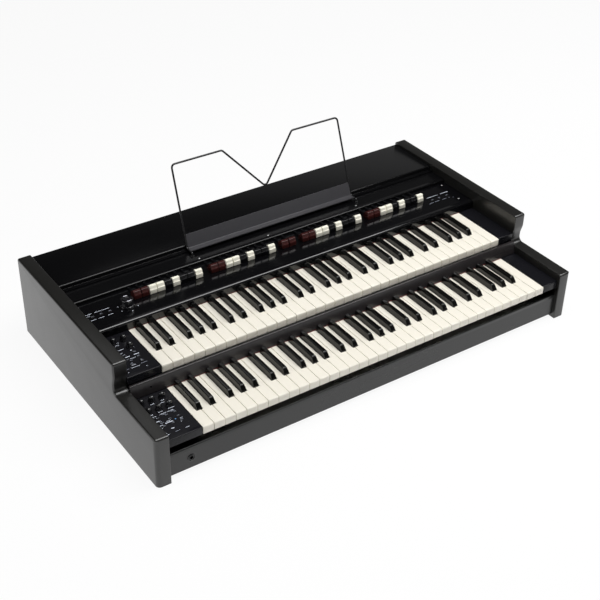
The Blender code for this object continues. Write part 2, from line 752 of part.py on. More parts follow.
def make_mat(name, places, top, wall):
    """A rubber mat: a thin sheet under the wall, with one button standing up through each window."""
    underside = top - wall - SEAT_GAP
    xs = [x for x, y in places]
    ys = [y for x, y in places]
    reach_x = BUTTON_SIZE[0] / 2 + MAT_BORDER
    reach_y = BUTTON_SIZE[1] / 2 + MAT_BORDER
    bm = bmesh.new()
    add_box(bm, (min(xs) - reach_x, min(ys) - reach_y, underside - MAT_SHEET),
            (max(xs) + reach_x, max(ys) + reach_y, underside))
    middle = ((min(xs) + max(xs)) / 2, (min(ys) + max(ys)) / 2, underside)
    mat = finish(name, bm, "rubber", middle)
    buttons = bmesh.new()
    for x, y in places:
        low = (x - BUTTON_SIZE[0] / 2, y - BUTTON_SIZE[1] / 2, underside - MAT_SHEET / 2)
        add_box(buttons, low, (x + BUTTON_SIZE[0] / 2, y + BUTTON_SIZE[1] / 2, top + BUTTON_RISE))
    combine(mat, buttons, "UNION")


def make_knob(name, centre, radius, height, finish_name, sides=KNOB_SIDES):
    """A knob with a skirt, a tapered grip, a domed top and a shaft that goes down through its hole."""
    skirt = SEAT_GAP + KNOB_SKIRT
    profile = [(KNOB_SHAFT, -KNOB_REACH), (KNOB_SHAFT, SEAT_GAP), (radius, SEAT_GAP), (radius, skirt),
               (radius * KNOB_GRIP, SEAT_GAP + KNOB_STEP), (radius * KNOB_NECK, height * KNOB_DOME),
               (radius * KNOB_CROWN, height)]
    bm = bmesh.new()
    add_turned(bm, profile, centre, (0, 0, 1), sides)
    smooth(finish(name, bm, finish_name, centre))


def make_block_knobs(prefix, places, front, top):
    """The numbered knobs of one control block."""
    for number, (x, y) in enumerate(places, 1):
        make_knob(f"{prefix}_{number}", (along(x), back(front + y), top), KNOB_RADIUS, KNOB_HEIGHT, "ebony")


# Keys

def add_natural(bm, index, front, top, has_left, has_right):
    """One natural: a full-width head, a tail notched for the sharps, and a rounded front edge."""
    left = KEYS_LEFT + index * NATURAL_PITCH
    right = left + NATURAL_PITCH
    notch = SHARP_WIDTH / 2 + KEY_GAP
    degree = index % 7
    tail_left = left + SHARP_SHIFTS[degree] + notch if has_left else left + KEY_GAP / 2
    tail_right = right + SHARP_SHIFTS[degree + 1] - notch if has_right else right - KEY_GAP / 2
    head_left = left + KEY_GAP / 2
    head_right = right - KEY_GAP / 2
    near = back(front)
    shoulder = back(front + HEAD_LENGTH) - KEY_GAP
    far = back(front + HINGE_BACK) - TAIL_SEAT
    outline = [(head_left, near), (head_right, near)]
    if has_right:
        outline += [(head_right, shoulder), (tail_right, shoulder)]
    outline += [(tail_right, far), (tail_left, far)]
    if has_left:
        outline += [(tail_left, shoulder), (head_left, shoulder)]
    faces = add_prism_z(bm, outline, top - NATURAL_DEPTH, top)
    edge = [e for e in faces[1].edges if max(v.co.y for v in e.verts) < near + 1e-6]
    bmesh.ops.bevel(bm, geom=edge, offset=NATURAL_EDGE, segments=2, profile=0.5, affect="EDGES")


def make_naturals(name, front, top, first, last):
    """A comb of naturals on its hinge strip."""
    fingers = bmesh.new()
    for index in range(first, last):
        degree = index % 7
        has_right = degree + 1 in SHARP_SHIFTS and index < NATURALS - 1
        add_natural(fingers, index, front, top, degree in SHARP_SHIFTS, has_right)
    axis = (0.0, back(front + HINGE_BACK), top - HINGE_DROP)
    strip = bmesh.new()
    start = KEYS_LEFT + first * NATURAL_PITCH + KEY_GAP / 2
    end = KEYS_LEFT + last * NATURAL_PITCH - KEY_GAP / 2
    add_cylinder(strip, axis, (1, 0, 0), HINGE_RADIUS, start, end, HINGE_SIDES)
    comb = finish(name, strip, "ivory", (start, axis[1], axis[2]))
    combine(comb, fingers, "UNION")


def add_sharp(bm, boundary, front, top):
    """One sharp: a tapered cap on a body that runs back, over the naturals' strip, to its own."""
    degree = boundary % 7
    middle = KEYS_LEFT + boundary * NATURAL_PITCH + SHARP_SHIFTS[degree]
    half = SHARP_WIDTH / 2
    half_top = SHARP_TOP_WIDTH / 2
    near = back(front + HEAD_LENGTH)
    far = back(front + KEY_SHOW) - KEY_GAP
    shoulder = top + SHARP_FOOT
    crown = top + SHARP_RISE
    belly = top - SHARP_BODY
    axis_y = back(front + HINGE_BACK + HINGE_STEP)
    axis_z = top - HINGE_DROP
    arm_top = top - SHARP_ARM_DROP
    arm_low = arm_top - SHARP_ARM
    neck = axis_y - HINGE_RADIUS
    heel = far - SHARP_BACK
    lower = [(near, belly), (near, shoulder), (far, shoulder), (far, arm_top), (axis_y, arm_top),
             (axis_y, axis_z), (neck, axis_z), (neck, arm_low), (heel, arm_low), (heel, belly)]
    cap = [(near, shoulder), (near + SHARP_SLOPE, crown), (far, crown), (far, shoulder)]
    sides = []
    for sign in (-1, 1):
        ring = {}
        for y, z in lower:
            ring[(y, z)] = bm.verts.new((middle + sign * half, y, z))
        for y, z in cap[1:3]:
            ring[(y, z)] = bm.verts.new((middle + sign * half_top, y, z))
        sides.append(ring)
    faces = [bm.faces.new([ring[p] for p in lower]) for ring in sides]
    faces += [bm.faces.new([ring[p] for p in cap]) for ring in sides]
    outer = [lower[0], cap[0], cap[1], cap[2], cap[3]] + lower[3:]
    for i, point in enumerate(outer):
        after = outer[(i + 1) % len(outer)]
        faces.append(bm.faces.new((sides[0][point], sides[0][after], sides[1][after], sides[1][point])))
    bmesh.ops.recalc_face_normals(bm, faces=faces)


def make_sharps(name, front, top, first, last):
    """A comb of sharps on its hinge strip, behind the naturals' one."""
    arms = bmesh.new()
    boundaries = [i for i in range(first, last) if i % 7 in SHARP_SHIFTS]
    for boundary in boundaries:
        add_sharp(arms, boundary, front, top)
    axis = (0.0, back(front + HINGE_BACK + HINGE_STEP), top - HINGE_DROP)
    start = KEYS_LEFT + (boundaries[0] - 0.5) * NATURAL_PITCH + KEY_GAP / 2
    end = KEYS_LEFT + (boundaries[-1] + 0.5) * NATURAL_PITCH - KEY_GAP / 2
    strip = bmesh.new()
    add_cylinder(strip, axis, (1, 0, 0), HINGE_RADIUS, start, end, HINGE_SIDES)
    comb = finish(name, strip, "ebony", (start, axis[1], axis[2]))
    combine(comb, arms, "UNION")


def make_single_keys(front, top):
    """The lowest octave of the lower manual, each key on its own piece of hinge strip."""
    for index, note in enumerate(NATURAL_NAMES):
        make_naturals(f"lower_key_{note}", front, top, index, index + 1)
    for boundary, note in SHARP_NAMES.items():
        make_sharps(f"lower_key_{note}", front, top, boundary, boundary + 1)


# Drawbars

def set_places(start):
    """The middles of one set's nine drawbars."""
    return [along(start) + i * DRAWBAR_PITCH for i in range(DRAWBARS_IN_SET)]


def pair_places():
    """The middles of the two drawbars between the sets."""
    return [along(PAIR_START), along(PAIR_START + PAIR_PITCH)]


def drawbar_places():
    """The middles of all the drawbars, left to right in each group."""
    places = [x for start in DRAWBAR_SETS for x in set_places(start)]
    return places + pair_places()


def add_cap(bm, x):
    """Add one cap: a face that leans back from its foot, a crown over it and a sloping tail."""
    low = PANEL_TOP + CAP_LIFT
    half = CAP_WIDTH / 2
    sections = []
    for foot, top, height in CAP_SECTIONS:
        edge = height - CAP_SHOULDER
        lean = (top - foot) / height
        side = [(half, foot, 0), (half, foot + lean * edge, edge), (half - CAP_SHOULDER, top, height)]
        section = [(-u, v, w) for u, v, w in side] + side[::-1]
        sections.append([(x + u, back(CAP_FRONT + v), low + w) for u, v, w in section])
    add_loft(bm, sections)


def add_stem(bm, x, end):
    """Add the flat stem that carries a cap, running back under the shelf."""
    low = PANEL_TOP + SEAT_GAP
    start = back(CAP_FRONT + CAP_DEPTH / 2)
    add_box(bm, (x - STEM_WIDTH / 2, start, low), (x + STEM_WIDTH / 2, back(end), low + STEM_HEIGHT))


def make_drawbar(name, x, finish_name):
    """One drawbar on its own: a cap and its stem."""
    bm = bmesh.new()
    add_cap(bm, x)
    bar = finish(name, bm, finish_name, (x, back(CAP_FRONT), PANEL_TOP))
    stem = bmesh.new()
    add_stem(stem, x, STEM_BACK)
    combine(bar, stem, "UNION")


def make_drawbar_bank():
    """The other drawbars on the cross bar that joins them."""
    joined = drawbar_places()[DRAWBARS_IN_SET:]
    low = PANEL_TOP + SEAT_GAP
    bm = bmesh.new()
    add_box(bm, (min(joined) - DRAWBAR_PITCH / 2, back(STEM_BACK), low),
            (max(joined) + DRAWBAR_PITCH / 2, back(STEM_BACK) + CROSS_BAR_DEPTH, low + CROSS_BAR_HEIGHT))
    bank = finish("drawbar_bank", bm, "ebony", (0, back(CAP_FRONT), PANEL_TOP))
    stems = bmesh.new()
    for x in joined:
        add_stem(stems, x, STEM_BACK + CROSS_BAR_DEPTH / 2)
    combine(bank, stems, "UNION")
    caps = bmesh.new()
    for x in joined:
        add_cap(caps, x)
    combine(bank, caps, "UNION")


# Music stand

def make_music_stand():
    """The stand: a wire bent in an M, its feet turned forward and down, and a folded ledge with a lip."""
    middle = along(STAND_MIDDLE)
    foot_y = back(STAND_BACK)
    tip_y = back(STAND_BACK + STAND_LEAN)
    lean = STAND_LEAN / STAND_RISE
    dip_y = foot_y + lean * STAND_DIP_RISE
    pin_y = foot_y - STAND_FOOT
    half = []
    half.append((STAND_FEET / 2, pin_y, SHELF_TOP - STAND_PIN))
    half.append((STAND_FEET / 2, pin_y, STAND_BASE))
    half.append((STAND_FEET / 2, foot_y, STAND_BASE))
    half.append((STAND_TOPS / 2, tip_y, STAND_TIP))
    half.append((STAND_NECK / 2, tip_y, STAND_TIP))
    left = [(middle - x, y, z) for x, y, z in half]
    right = [(middle + x, y, z) for x, y, z in reversed(half)]
    corners = left + [(middle, dip_y, STAND_DIP)] + right
    bends = [STAND_FOOT_BEND] + [STAND_BEND] * (len(corners) - 4) + [STAND_FOOT_BEND]
    path = round_path(corners, bends, 3)
    bm = bmesh.new()
    add_wire(bm, path, STAND_WIRE)
    stand = finish("music_stand", bm, "sheet", (middle, pin_y, SHELF_TOP))
    fold = [(foot_y - STAND_LEDGE, STAND_BASE + STAND_LIP), (foot_y - STAND_LEDGE, STAND_BASE),
            (foot_y, STAND_BASE), (foot_y + lean * STAND_PLATE, STAND_BASE + STAND_PLATE)]
    plate = bmesh.new()
    add_prism_x(plate, sheet_outline(fold, STAND_SHEET), middle - STAND_FEET / 2, middle + STAND_FEET / 2)
    combine(stand, plate, "UNION")


# Rear sockets

def add_rear_box(bm, x, half_width, half_height, near, far):
    """Add a box on the rear plate's middle line, between two depths from its outer face."""
    outer = back(LID_BACK)
    add_box(bm, (x - half_width, outer - far, PLATE_MIDDLE[1] - half_height),
            (x + half_width, outer - near, PLATE_MIDDLE[1] + half_height))


def make_socket_plate():
    """The rear plate with its inlet, switch window, jack, round and square sockets."""
    bm = bmesh.new()
    add_rear_box(bm, 0, PLATE_SIZE[0] / 2, PLATE_SIZE[1] / 2, 0, SHEET)
    plate = finish("socket_plate", bm, "steel", (0, back(LID_BACK), PLATE_MIDDLE[1]))
    bodies = bmesh.new()
    cuts = bmesh.new()
    wall = SOCKET_WALL
    overlap = SHEET / 2
    inlet = (INLET_SIZE[0] / 2, INLET_SIZE[1] / 2)
    switch = (SWITCH_SIZE[0] / 2 + SWITCH_GAP, SWITCH_SIZE[1] / 2 + SWITCH_GAP)
    usb = (USB_SIZE[0] / 2, USB_SIZE[1] / 2)
    for x, half, deep in ((INLET_PLACE, inlet, INLET_DEPTH), (SWITCH_PLACE, switch, SWITCH_DEPTH),
                          (USB_PLACE, usb, USB_DEPTH)):
        add_rear_box(bodies, x, half[0] + wall, half[1] + wall, overlap, deep + wall)
        add_rear_box(cuts, x, half[0], half[1], -OVERCUT, deep)
    for places, radius, deep in ((JACK_PLACES, JACK_RADIUS, REAR_JACK_DEPTH),
                                 (DIN_PLACES, DIN_RADIUS, DIN_DEPTH)):
        for x in places:
            centre = (x, back(LID_BACK), PLATE_MIDDLE[1])
            add_cylinder(bodies, centre, (0, -1, 0), radius + wall, overlap, deep + wall, 12)
            add_cylinder(cuts, centre, (0, -1, 0), radius, -OVERCUT, deep, 12)
    combine(plate, bodies, "UNION")
    combine(plate, cuts, "DIFFERENCE")


def make_power_switch():
    """The rocker in its window, tilted to its off side, on trunnions that fit between its walls."""
    half_width = SWITCH_SIZE[0] / 2
    half_height = SWITCH_SIZE[1] / 2
    axis = (SWITCH_PLACE, back(LID_BACK - SWITCH_AXIS), PLATE_MIDDLE[1])
    tip = half_height * SWITCH_TIP
    shoulder = half_height * SWITCH_TAPER
    outline = [(-tip, SWITCH_CROWN), (0.0, SWITCH_CROWN + SWITCH_BULGE), (tip, SWITCH_CROWN),
               (shoulder, -SWITCH_SHOULDER), (0.0, -SWITCH_BELLY), (-shoulder, -SWITCH_SHOULDER)]
    turned = []
    for height, out in outline:
        z = height * math.cos(SWITCH_TILT) - out * math.sin(SWITCH_TILT)
        y = height * math.sin(SWITCH_TILT) + out * math.cos(SWITCH_TILT)
        turned.append((axis[1] + y, axis[2] + z))
    bm = bmesh.new()
    add_prism_x(bm, turned, SWITCH_PLACE - half_width, SWITCH_PLACE + half_width)
    rocker = finish("power_switch", bm, "rubber", axis)
    pin = bmesh.new()
    reach = half_width + SWITCH_GAP - SHAFT_GAP
    add_cylinder(pin, axis, (1, 0, 0), SWITCH_PIN, -reach, reach, 10)
    combine(rocker, pin, "UNION")


# Parts inside

def make_main_board():
    """The main board on four posts, with the supply's block, two large chips and its connectors."""
    floor = FLOOR_GAP + BOARD + SEAT_GAP
    half_x = BOARD_SIZE[0] / 2
    half_y = BOARD_SIZE[1] / 2
    bm = bmesh.new()
    low = (BOARD_PLACE[0] - half_x, BOARD_PLACE[1] - half_y, floor + POST_HEIGHT)
    add_box(bm, low, (BOARD_PLACE[0] + half_x, BOARD_PLACE[1] + half_y, floor + POST_HEIGHT + BOARD_SIZE[2]))
    board = finish("main_board", bm, "circuit", (BOARD_PLACE[0], BOARD_PLACE[1], floor))
    posts = bmesh.new()
    inset = 2 * POST_RADIUS
    for sx in (-1, 1):
        for sy in (-1, 1):
            centre = (BOARD_PLACE[0] + sx * (half_x - inset), BOARD_PLACE[1] + sy * (half_y - inset), floor)
            add_cylinder(posts, centre, (0, 0, 1), POST_RADIUS, 0, POST_HEIGHT + BOARD_SIZE[2] / 2, 10)
    combine(board, posts, "UNION")
    parts = bmesh.new()
    face = floor + POST_HEIGHT + BOARD_SIZE[2] / 2
    for x, y, width, depth, height in BOARD_PARTS:
        middle = (BOARD_PLACE[0] + x, BOARD_PLACE[1] + y)
        add_box(parts, (middle[0] - width / 2, middle[1] - depth / 2, face),
                (middle[0] + width / 2, middle[1] + depth / 2, face + BOARD_SIZE[2] / 2 + height))
    combine(board, parts, "UNION")


def build():
    """Clear the scene and make every part."""
    for old in list(bpy.data.objects):
        bpy.data.objects.remove(old)
    root = bpy.data.objects.new("organ", None)
    bpy.context.scene.collection.objects.link(root)
    make_cheek("left_cheek", -1)
    make_cheek("right_cheek", 1)
    make_base_board()
    make_front_rail()
    make_headphone_socket()
    make_back_panel()
    make_lid()
    make_shelf()
    make_drawbar_panel()
    make_middle_rail()
    make_key_bed("lower_key_bed", LOWER_FRONT, LOWER_TOP, FLOOR_GAP + BOARD + SEAT_GAP)
    make_key_bed("upper_key_bed", UPPER_FRONT, UPPER_TOP)
    lower_face = make_block("lower_control_block", LEFT, KEYS_LEFT, LOWER_FRONT, LOWER_TOP,
                            LOWER_KNOBS, LOWER_BUTTONS)
    upper_face = make_block("upper_control_block", LEFT, KEYS_LEFT, UPPER_FRONT, UPPER_TOP,
                            UPPER_KNOBS, UPPER_BUTTONS)
    make_block("lower_end_block", RIGHT - RIGHT_BLOCK, RIGHT, LOWER_FRONT, LOWER_TOP)
    make_block("upper_end_block", RIGHT - RIGHT_BLOCK, RIGHT, UPPER_FRONT, UPPER_TOP)
    make_mat("lower_block_buttons", button_places(LOWER_BUTTONS, LOWER_FRONT), lower_face, BLOCK_WALL)
    make_mat("upper_block_buttons", button_places(UPPER_BUTTONS, UPPER_FRONT), upper_face, BLOCK_WALL)
    make_mat("left_panel_buttons", button_places(LEFT_BUTTONS, FASCIA_FRONT), PANEL_TOP, SHEET)
    make_mat("right_panel_buttons", right_button_places(), PANEL_TOP, SHEET)
    make_block_knobs("lower_knob", LOWER_KNOBS, LOWER_FRONT, lower_face)
    make_block_knobs("upper_knob", UPPER_KNOBS, UPPER_FRONT, upper_face)
    vibrato_centre = (along(VIBRATO_PLACE[0]), back(FASCIA_FRONT + VIBRATO_PLACE[1]), PANEL_TOP)
    make_knob("vibrato_knob", vibrato_centre, VIBRATO_RADIUS, VIBRATO_HEIGHT, "chrome", VIBRATO_SIDES)
    make_single_keys(LOWER_FRONT, LOWER_TOP)
    make_naturals("lower_naturals", LOWER_FRONT, LOWER_TOP, 7, NATURALS)
    make_sharps("lower_sharps", LOWER_FRONT, LOWER_TOP, 7, NATURALS - 1)
    make_naturals("upper_naturals", UPPER_FRONT, UPPER_TOP, 0, NATURALS)
    make_sharps("upper_sharps", UPPER_FRONT, UPPER_TOP, 0, NATURALS - 1)
    cap_finishes = ("brown", "brown", "ivory", "ivory", "ebony", "ivory", "ebony", "ebony", "ivory")
    for number, (x, cap) in enumerate(zip(set_places(DRAWBAR_SETS[0]), cap_finishes), 1):
        make_drawbar(f"drawbar_{number}", x, cap)
    make_drawbar_bank()
    make_music_stand()
    make_socket_plate()
    make_power_switch()
    make_main_board()


build()
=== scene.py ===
"""A two-manual drawbar organ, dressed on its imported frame: finishes, keys, drawbars, knobs and marks.

Everything is in metres with +Z up, and the player sits on the -Y side.
"""
import math

import bmesh
import bpy
import numpy as np
from mathutils import Matrix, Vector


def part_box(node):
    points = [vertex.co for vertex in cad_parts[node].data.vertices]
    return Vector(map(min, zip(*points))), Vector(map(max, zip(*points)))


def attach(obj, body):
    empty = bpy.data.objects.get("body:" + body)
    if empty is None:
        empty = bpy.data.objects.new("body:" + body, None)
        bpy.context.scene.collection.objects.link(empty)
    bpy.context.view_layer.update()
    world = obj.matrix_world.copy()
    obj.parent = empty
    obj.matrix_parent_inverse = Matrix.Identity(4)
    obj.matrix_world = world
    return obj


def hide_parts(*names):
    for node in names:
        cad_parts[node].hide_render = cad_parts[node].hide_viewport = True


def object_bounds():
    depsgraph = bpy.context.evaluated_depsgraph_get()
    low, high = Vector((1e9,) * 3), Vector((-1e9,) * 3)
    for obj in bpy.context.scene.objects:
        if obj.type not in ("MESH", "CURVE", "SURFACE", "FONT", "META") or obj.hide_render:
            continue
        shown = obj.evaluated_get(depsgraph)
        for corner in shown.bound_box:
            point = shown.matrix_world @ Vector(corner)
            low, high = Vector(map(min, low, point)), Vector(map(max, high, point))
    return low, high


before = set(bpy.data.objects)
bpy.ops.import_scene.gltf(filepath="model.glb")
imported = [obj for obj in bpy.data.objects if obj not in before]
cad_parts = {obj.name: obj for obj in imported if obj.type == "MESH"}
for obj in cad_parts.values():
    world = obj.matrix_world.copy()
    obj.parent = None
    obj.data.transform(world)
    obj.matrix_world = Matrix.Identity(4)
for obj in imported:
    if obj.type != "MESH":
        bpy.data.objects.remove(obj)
cad_low, cad_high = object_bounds()

# Camera: its place, its yaw, pitch and roll in degrees, and its lens in mm
CAMERA_PLACE = (-1.2036, -1.7316, 1.5002)
CAMERA_TURN = (34.819, 34.362, 1.138)
CAMERA_LENS = 71.06

# Floor and shading
FLOOR_REACH = 9.0
FLOOR_LEVELS = (-0.02, -0.0002)
FLOOR_GLOW = 0.92
SMOOTH_ANGLE = 38
FOLD_ANGLE = 50

# Keys: the spacing and the forms of naturals and sharps
NATURAL_PITCH = 0.0235
NATURALS = 36
NATURAL_DEPTH = 0.0158
NATURAL_NOSE = 0.003
NATURAL_EDGE = 0.0007
NATURAL_PINCH = (0.0007, 0.00025)
KEY_GAP = 0.001
HEAD_LENGTH = 0.0474
KEY_SHOW = 0.136
SHARP_WIDTH = 0.0116
SHARP_TOP_WIDTH = 0.0092
SHARP_RISE = 0.012
SHARP_SLOPE = 0.0082
SHARP_EDGE = 0.0014
SHARP_BODY = 0.013
SHARP_ARM = 0.0028
SHARP_PINCH = (0.0008, 0.0003, 0.0001)
SHARP_NOSE = ((0.0, 0.1), (0.02, 0.16), (0.1, 0.24), (0.5, 0.6), (0.8, 0.845), (0.92, 0.915),
              (1.0, 0.955), (1.14, 0.985), (1.35, 1.0))
SHARP_SHIFTS = {1: -0.0028, 2: 0.0028, 4: -0.0038, 5: 0.0, 6: 0.0038}
HINGE_BACK = 0.195
HINGE_STEP = 0.015
HINGE_DROP = 0.0098
HINGE_RADIUS = 0.005
ARM_DROP = 0.0006
TAIL_SEAT = 0.004
NATURAL_NOTES = ("c", "d", "e", "f", "g", "a", "b")
SHARP_NOTES = {1: "c_sharp", 2: "d_sharp", 4: "f_sharp", 5: "g_sharp", 6: "a_sharp"}

# Drawbars
DRAWBAR_PITCH = 0.0177
DRAWBAR_SETS = (0.127, 0.306, 0.534, 0.71)
PAIR_PLACES = (0.4815, 0.5002)
CAP_COLOURS = ("brown", "brown", "ivory", "ivory", "black", "ivory", "black", "black", "ivory")
CAP_WIDTH = 0.0162
CAP_RIM = 0.0011
CAP_FOOT_RIM = 0.0003
CAP_LIFT = 0.0009
CAP_CORNERS = ((0.0012, 0.0), (0.0014, 0.009), (0.0032, 0.0106), (0.005, 0.0163), (0.0095, 0.0179),
               (0.015, 0.0141), (0.02, 0.0097), (0.02, 0.0))
CAP_BENDS = (0.0003, 0.0006, 0.0012, 0.0012, 0.004, 0.004, 0.001, 0.0003)
STEM_WIDTH = 0.0045
STEM_HEIGHT = 0.0034
STEM_START = 0.01
CROSS_BAR_HEIGHT = 0.0042

# Cheeks
CHEEK_NOSE = 0.154
CHEEK_LOW = 0.1125
CHEEK_UNDERCUT = 0.006
CHEEK_COVE = 0.01
CHEEK_CORNER = 0.005
CHEEK_WAIST = 0.006
CHEEK_BROW = 0.026
CHEEK_RIM = 0.0042
CHEEK_FRONT_RIM = 0.009
CHEEK_INNER_RIM = 0.0015

# Folded sheets: thicknesses, bends, the seam between bend and plate, and clearances
SEAT_GAP = 0.0003
SHAFT_GAP = 0.0003
SLOT_GAP = 0.0005
LID_SHEET = 0.002
LID_FLANGE = 0.009
LID_OVER_SHELF = 0.012
SHELF_SHEET = 0.002
SHEET = 0.0025
FOLD_RADIUS = 0.0025
RAIL_RADIUS = 0.003
FASCIA_LEAN = 0.0012
RAIL_LEAN = 0.007
RAIL_BENDS = (0.0004, 0.0021, 0.0012, 0.0004)
FASCIA_RADIUS = 0.0055
FASCIA_CLEARANCE = 0.0015
SHEET_SEAM = 0.008
PANEL_SEAM = 0.012
HOLDER_RADIUS = 0.0048
HOLDER_HEIGHT = 0.0026
SOCKET_HOLE = 0.0046

# Control blocks, knobs and buttons
BLOCK_WALL = 0.003
BLOCK_LIP = 0.017
BLOCK_OVERHANG = 0.024
BLOCK_EDGE = 0.0015
BLOCK_RIM = 0.0005
KNOB_SHAFT = 0.003
KNOB_REACH = 0.01
KNOB_FLUTES = 12
KNOB_FLUTE_DEPTH = 0.035
KNOB_NAMES = {"lower": [f"lower_knob_{i}" for i in range(1, 7)],
              "upper": [f"upper_knob_{i}" for i in range(1, 4)]}
BUTTON_SIZE = (0.008, 0.005)
BUTTON_CORNER = 0.0012
BUTTON_WINDOW = (0.0026, 0.0005)
MAT_SHEET = 0.0015
BUTTON_GROUPS = {
    "upper_block_buttons": ((0.027, 0.049), (0.223, 0.207, 0.191)),
    "lower_block_buttons": ((0.015, 0.033, 0.051), (0.073, 0.06, 0.047)),
    "left_panel_buttons": ((0.022, 0.041, 0.06), (0.345,)),
    "right_panel_buttons": ((0.881, 0.901, 0.923), (0.345,)),
}

# Music stand
STAND_WIRE = 0.0021
STAND_RADIUS = 0.0023
STAND_FEET = 0.428
STAND_TOPS = 0.422
STAND_NECK = 0.178
STAND_DIP = 0.246
STAND_BASE = 0.1715
STAND_TIP = 0.343
STAND_LEAN = 0.06
STAND_FOOT = 0.022
STAND_BEND = 0.008
STAND_FOOT_BEND = 0.0035
STAND_PLATE = 0.029
STAND_LEDGE = 0.017
STAND_LIP = 0.003
STAND_SHEET = 0.0015
LEDGE_BENDS = ((0.0014, 0.003), (0.0006, 0.0016))

# Rear sockets, from the middle of the case, with their collars' (radius, height) sections
REAR_JACKS = (-0.07, -0.048, -0.026, -0.004, 0.018, 0.04)
ROUND_SOCKETS = (0.072, 0.1)
MAINS_INLET = -0.14
PIN_CIRCLE = 0.0042
JACK_COLLAR = ((0.0034, -0.0003), (0.0036, 0.0007), (0.0046, 0.0009), (0.0054, 0.0006), (0.0057, -0.0003))
ROUND_RIM = ((0.0077, -0.0003), (0.0079, 0.0006), (0.0086, 0.0008), (0.0092, 0.0004), (0.0093, -0.0003))
BLADE_PLACES = ((-0.007, -0.002), (0.007, -0.002), (0.0, 0.0022))

# Felt, screws and printed marks
FELT_HEIGHT = 0.0011
FELT_DEPTH = 0.0004
FELT_CLEARANCE = 0.0004
SCREW_RADIUS = 0.0024
SCREW_DOME = 0.001
SCREW_SINK = 0.0004
RAIL_SCREW_INSETS = (0.0413, 0.029)
INK_HEIGHT = 0.00008
INK_ROOT = 0.0002

# Places read from the frame
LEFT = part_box("middle_rail")[0].x
FRONT = cad_low[1]
KEYS_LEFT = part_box("upper_naturals")[0].x - KEY_GAP / 2
MANUALS = {manual: (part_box(manual + "_naturals")[0].y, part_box(manual + "_naturals")[1].z)
           for manual in ("lower", "upper")}
PANEL_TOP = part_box("drawbar_panel")[1].z
SHELF_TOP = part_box("lid")[1].z - LID_OVER_SHELF
SCREW_PLACES = ((0.33, 0.409, SHELF_TOP), (0.502, 0.409, SHELF_TOP), (0.74, 0.41, SHELF_TOP),
                (0.041, 0.388, PANEL_TOP), (0.974, 0.388, PANEL_TOP), (0.967, 0.319, PANEL_TOP))


# Node groups that several finishes share

def wire(links, *pairs):
    """Link each output to the input beside it."""
    for source, target in pairs:
        links.new(source, target)


def math_node(nodes, operation, *values):
    """A Math node with values in its inputs; None leaves one as it is."""
    made = nodes.new("ShaderNodeMath")
    made.operation = operation
    for socket, value in zip(made.inputs, values):
        if value is not None:
            socket.default_value = value
    return made


def new_group(name, inputs, outputs):
    """A node group with number inputs and the named outputs, and its two end nodes."""
    group = bpy.data.node_groups.new(name, "ShaderNodeTree")
    for socket, value in inputs.items():
        group.interface.new_socket(socket, in_out="INPUT", socket_type="NodeSocketFloat").default_value = value
    for socket, kind in outputs.items():
        group.interface.new_socket(socket, in_out="OUTPUT", socket_type="NodeSocket" + kind)
    return group, group.nodes.new("NodeGroupInput"), group.nodes.new("NodeGroupOutput")


def noise_nodes(group, vector, scale, detail):
    """Noise on a vector, and the same noise less a half."""
    noise = group.nodes.new("ShaderNodeTexNoise")
    noise.inputs["Detail"].default_value = detail
    centred = math_node(group.nodes, "SUBTRACT", None, 0.5)
    wire(group.links, (vector, noise.inputs["Vector"]), (scale, noise.inputs["Scale"]),
         (noise.outputs["Fac"], centred.inputs[0]))
    return noise.outputs["Fac"], centred.outputs[0]


def grain_group():
    """Fine grain on Object coordinates: the tone 1 + contrast (noise - 0.5), and a bumped normal."""
    group, enter, leave = new_group("grain", {"Scale": 900.0, "Depth": 0.00002, "Contrast": 0.2},
                                    {"Tone": "Float", "Normal": "Vector"})
    place = group.nodes.new("ShaderNodeTexCoord")
    noise, centred = noise_nodes(group, place.outputs["Object"], enter.outputs["Scale"], 4.0)
    tone = math_node(group.nodes, "MULTIPLY_ADD", None, None, 1.0)
    bump = group.nodes.new("ShaderNodeBump")
    wire(group.links, (centred, tone.inputs[0]), (enter.outputs["Contrast"], tone.inputs[1]),
         (noise, bump.inputs["Height"]), (enter.outputs["Depth"], bump.inputs["Distance"]),
         (tone.outputs[0], leave.inputs["Tone"]), (bump.outputs["Normal"], leave.inputs["Normal"]))
    return group


def wipe_group():
    """Wide faint smears where a cloth has passed: roughness + spread (stretched noise - 0.5)."""
    group, enter, leave = new_group("wipe", {"Roughness": 0.4, "Spread": 0.06, "Scale": 6.0},
                                    {"Roughness": "Float"})
    place = group.nodes.new("ShaderNodeTexCoord")
    stretch = group.nodes.new("ShaderNodeMapping")
    stretch.inputs["Scale"].default_value = (1.0, 3.0, 3.0)
    stretch.inputs["Rotation"].default_value = (0.2, 0.1, 0.5)
    _, centred = noise_nodes(group, stretch.outputs["Vector"], enter.outputs["Scale"], 5.0)
    spread = math_node(group.nodes, "MULTIPLY_ADD")
    wire(group.links, (place.outputs["Object"], stretch.inputs["Vector"]), (centred, spread.inputs[0]),
         (enter.outputs["Spread"], spread.inputs[1]), (enter.outputs["Roughness"], spread.inputs[2]),
         (spread.outputs[0], leave.inputs["Roughness"]))
    return group


GRAIN = grain_group()
WIPE = wipe_group()


def new_material(name):
    """A new material with its nodes, its links and its Principled shader."""
    made = bpy.data.materials.new(name)
    made.use_nodes = True
    nodes = made.node_tree.nodes
    return made, nodes, made.node_tree.links, nodes["Principled BSDF"]


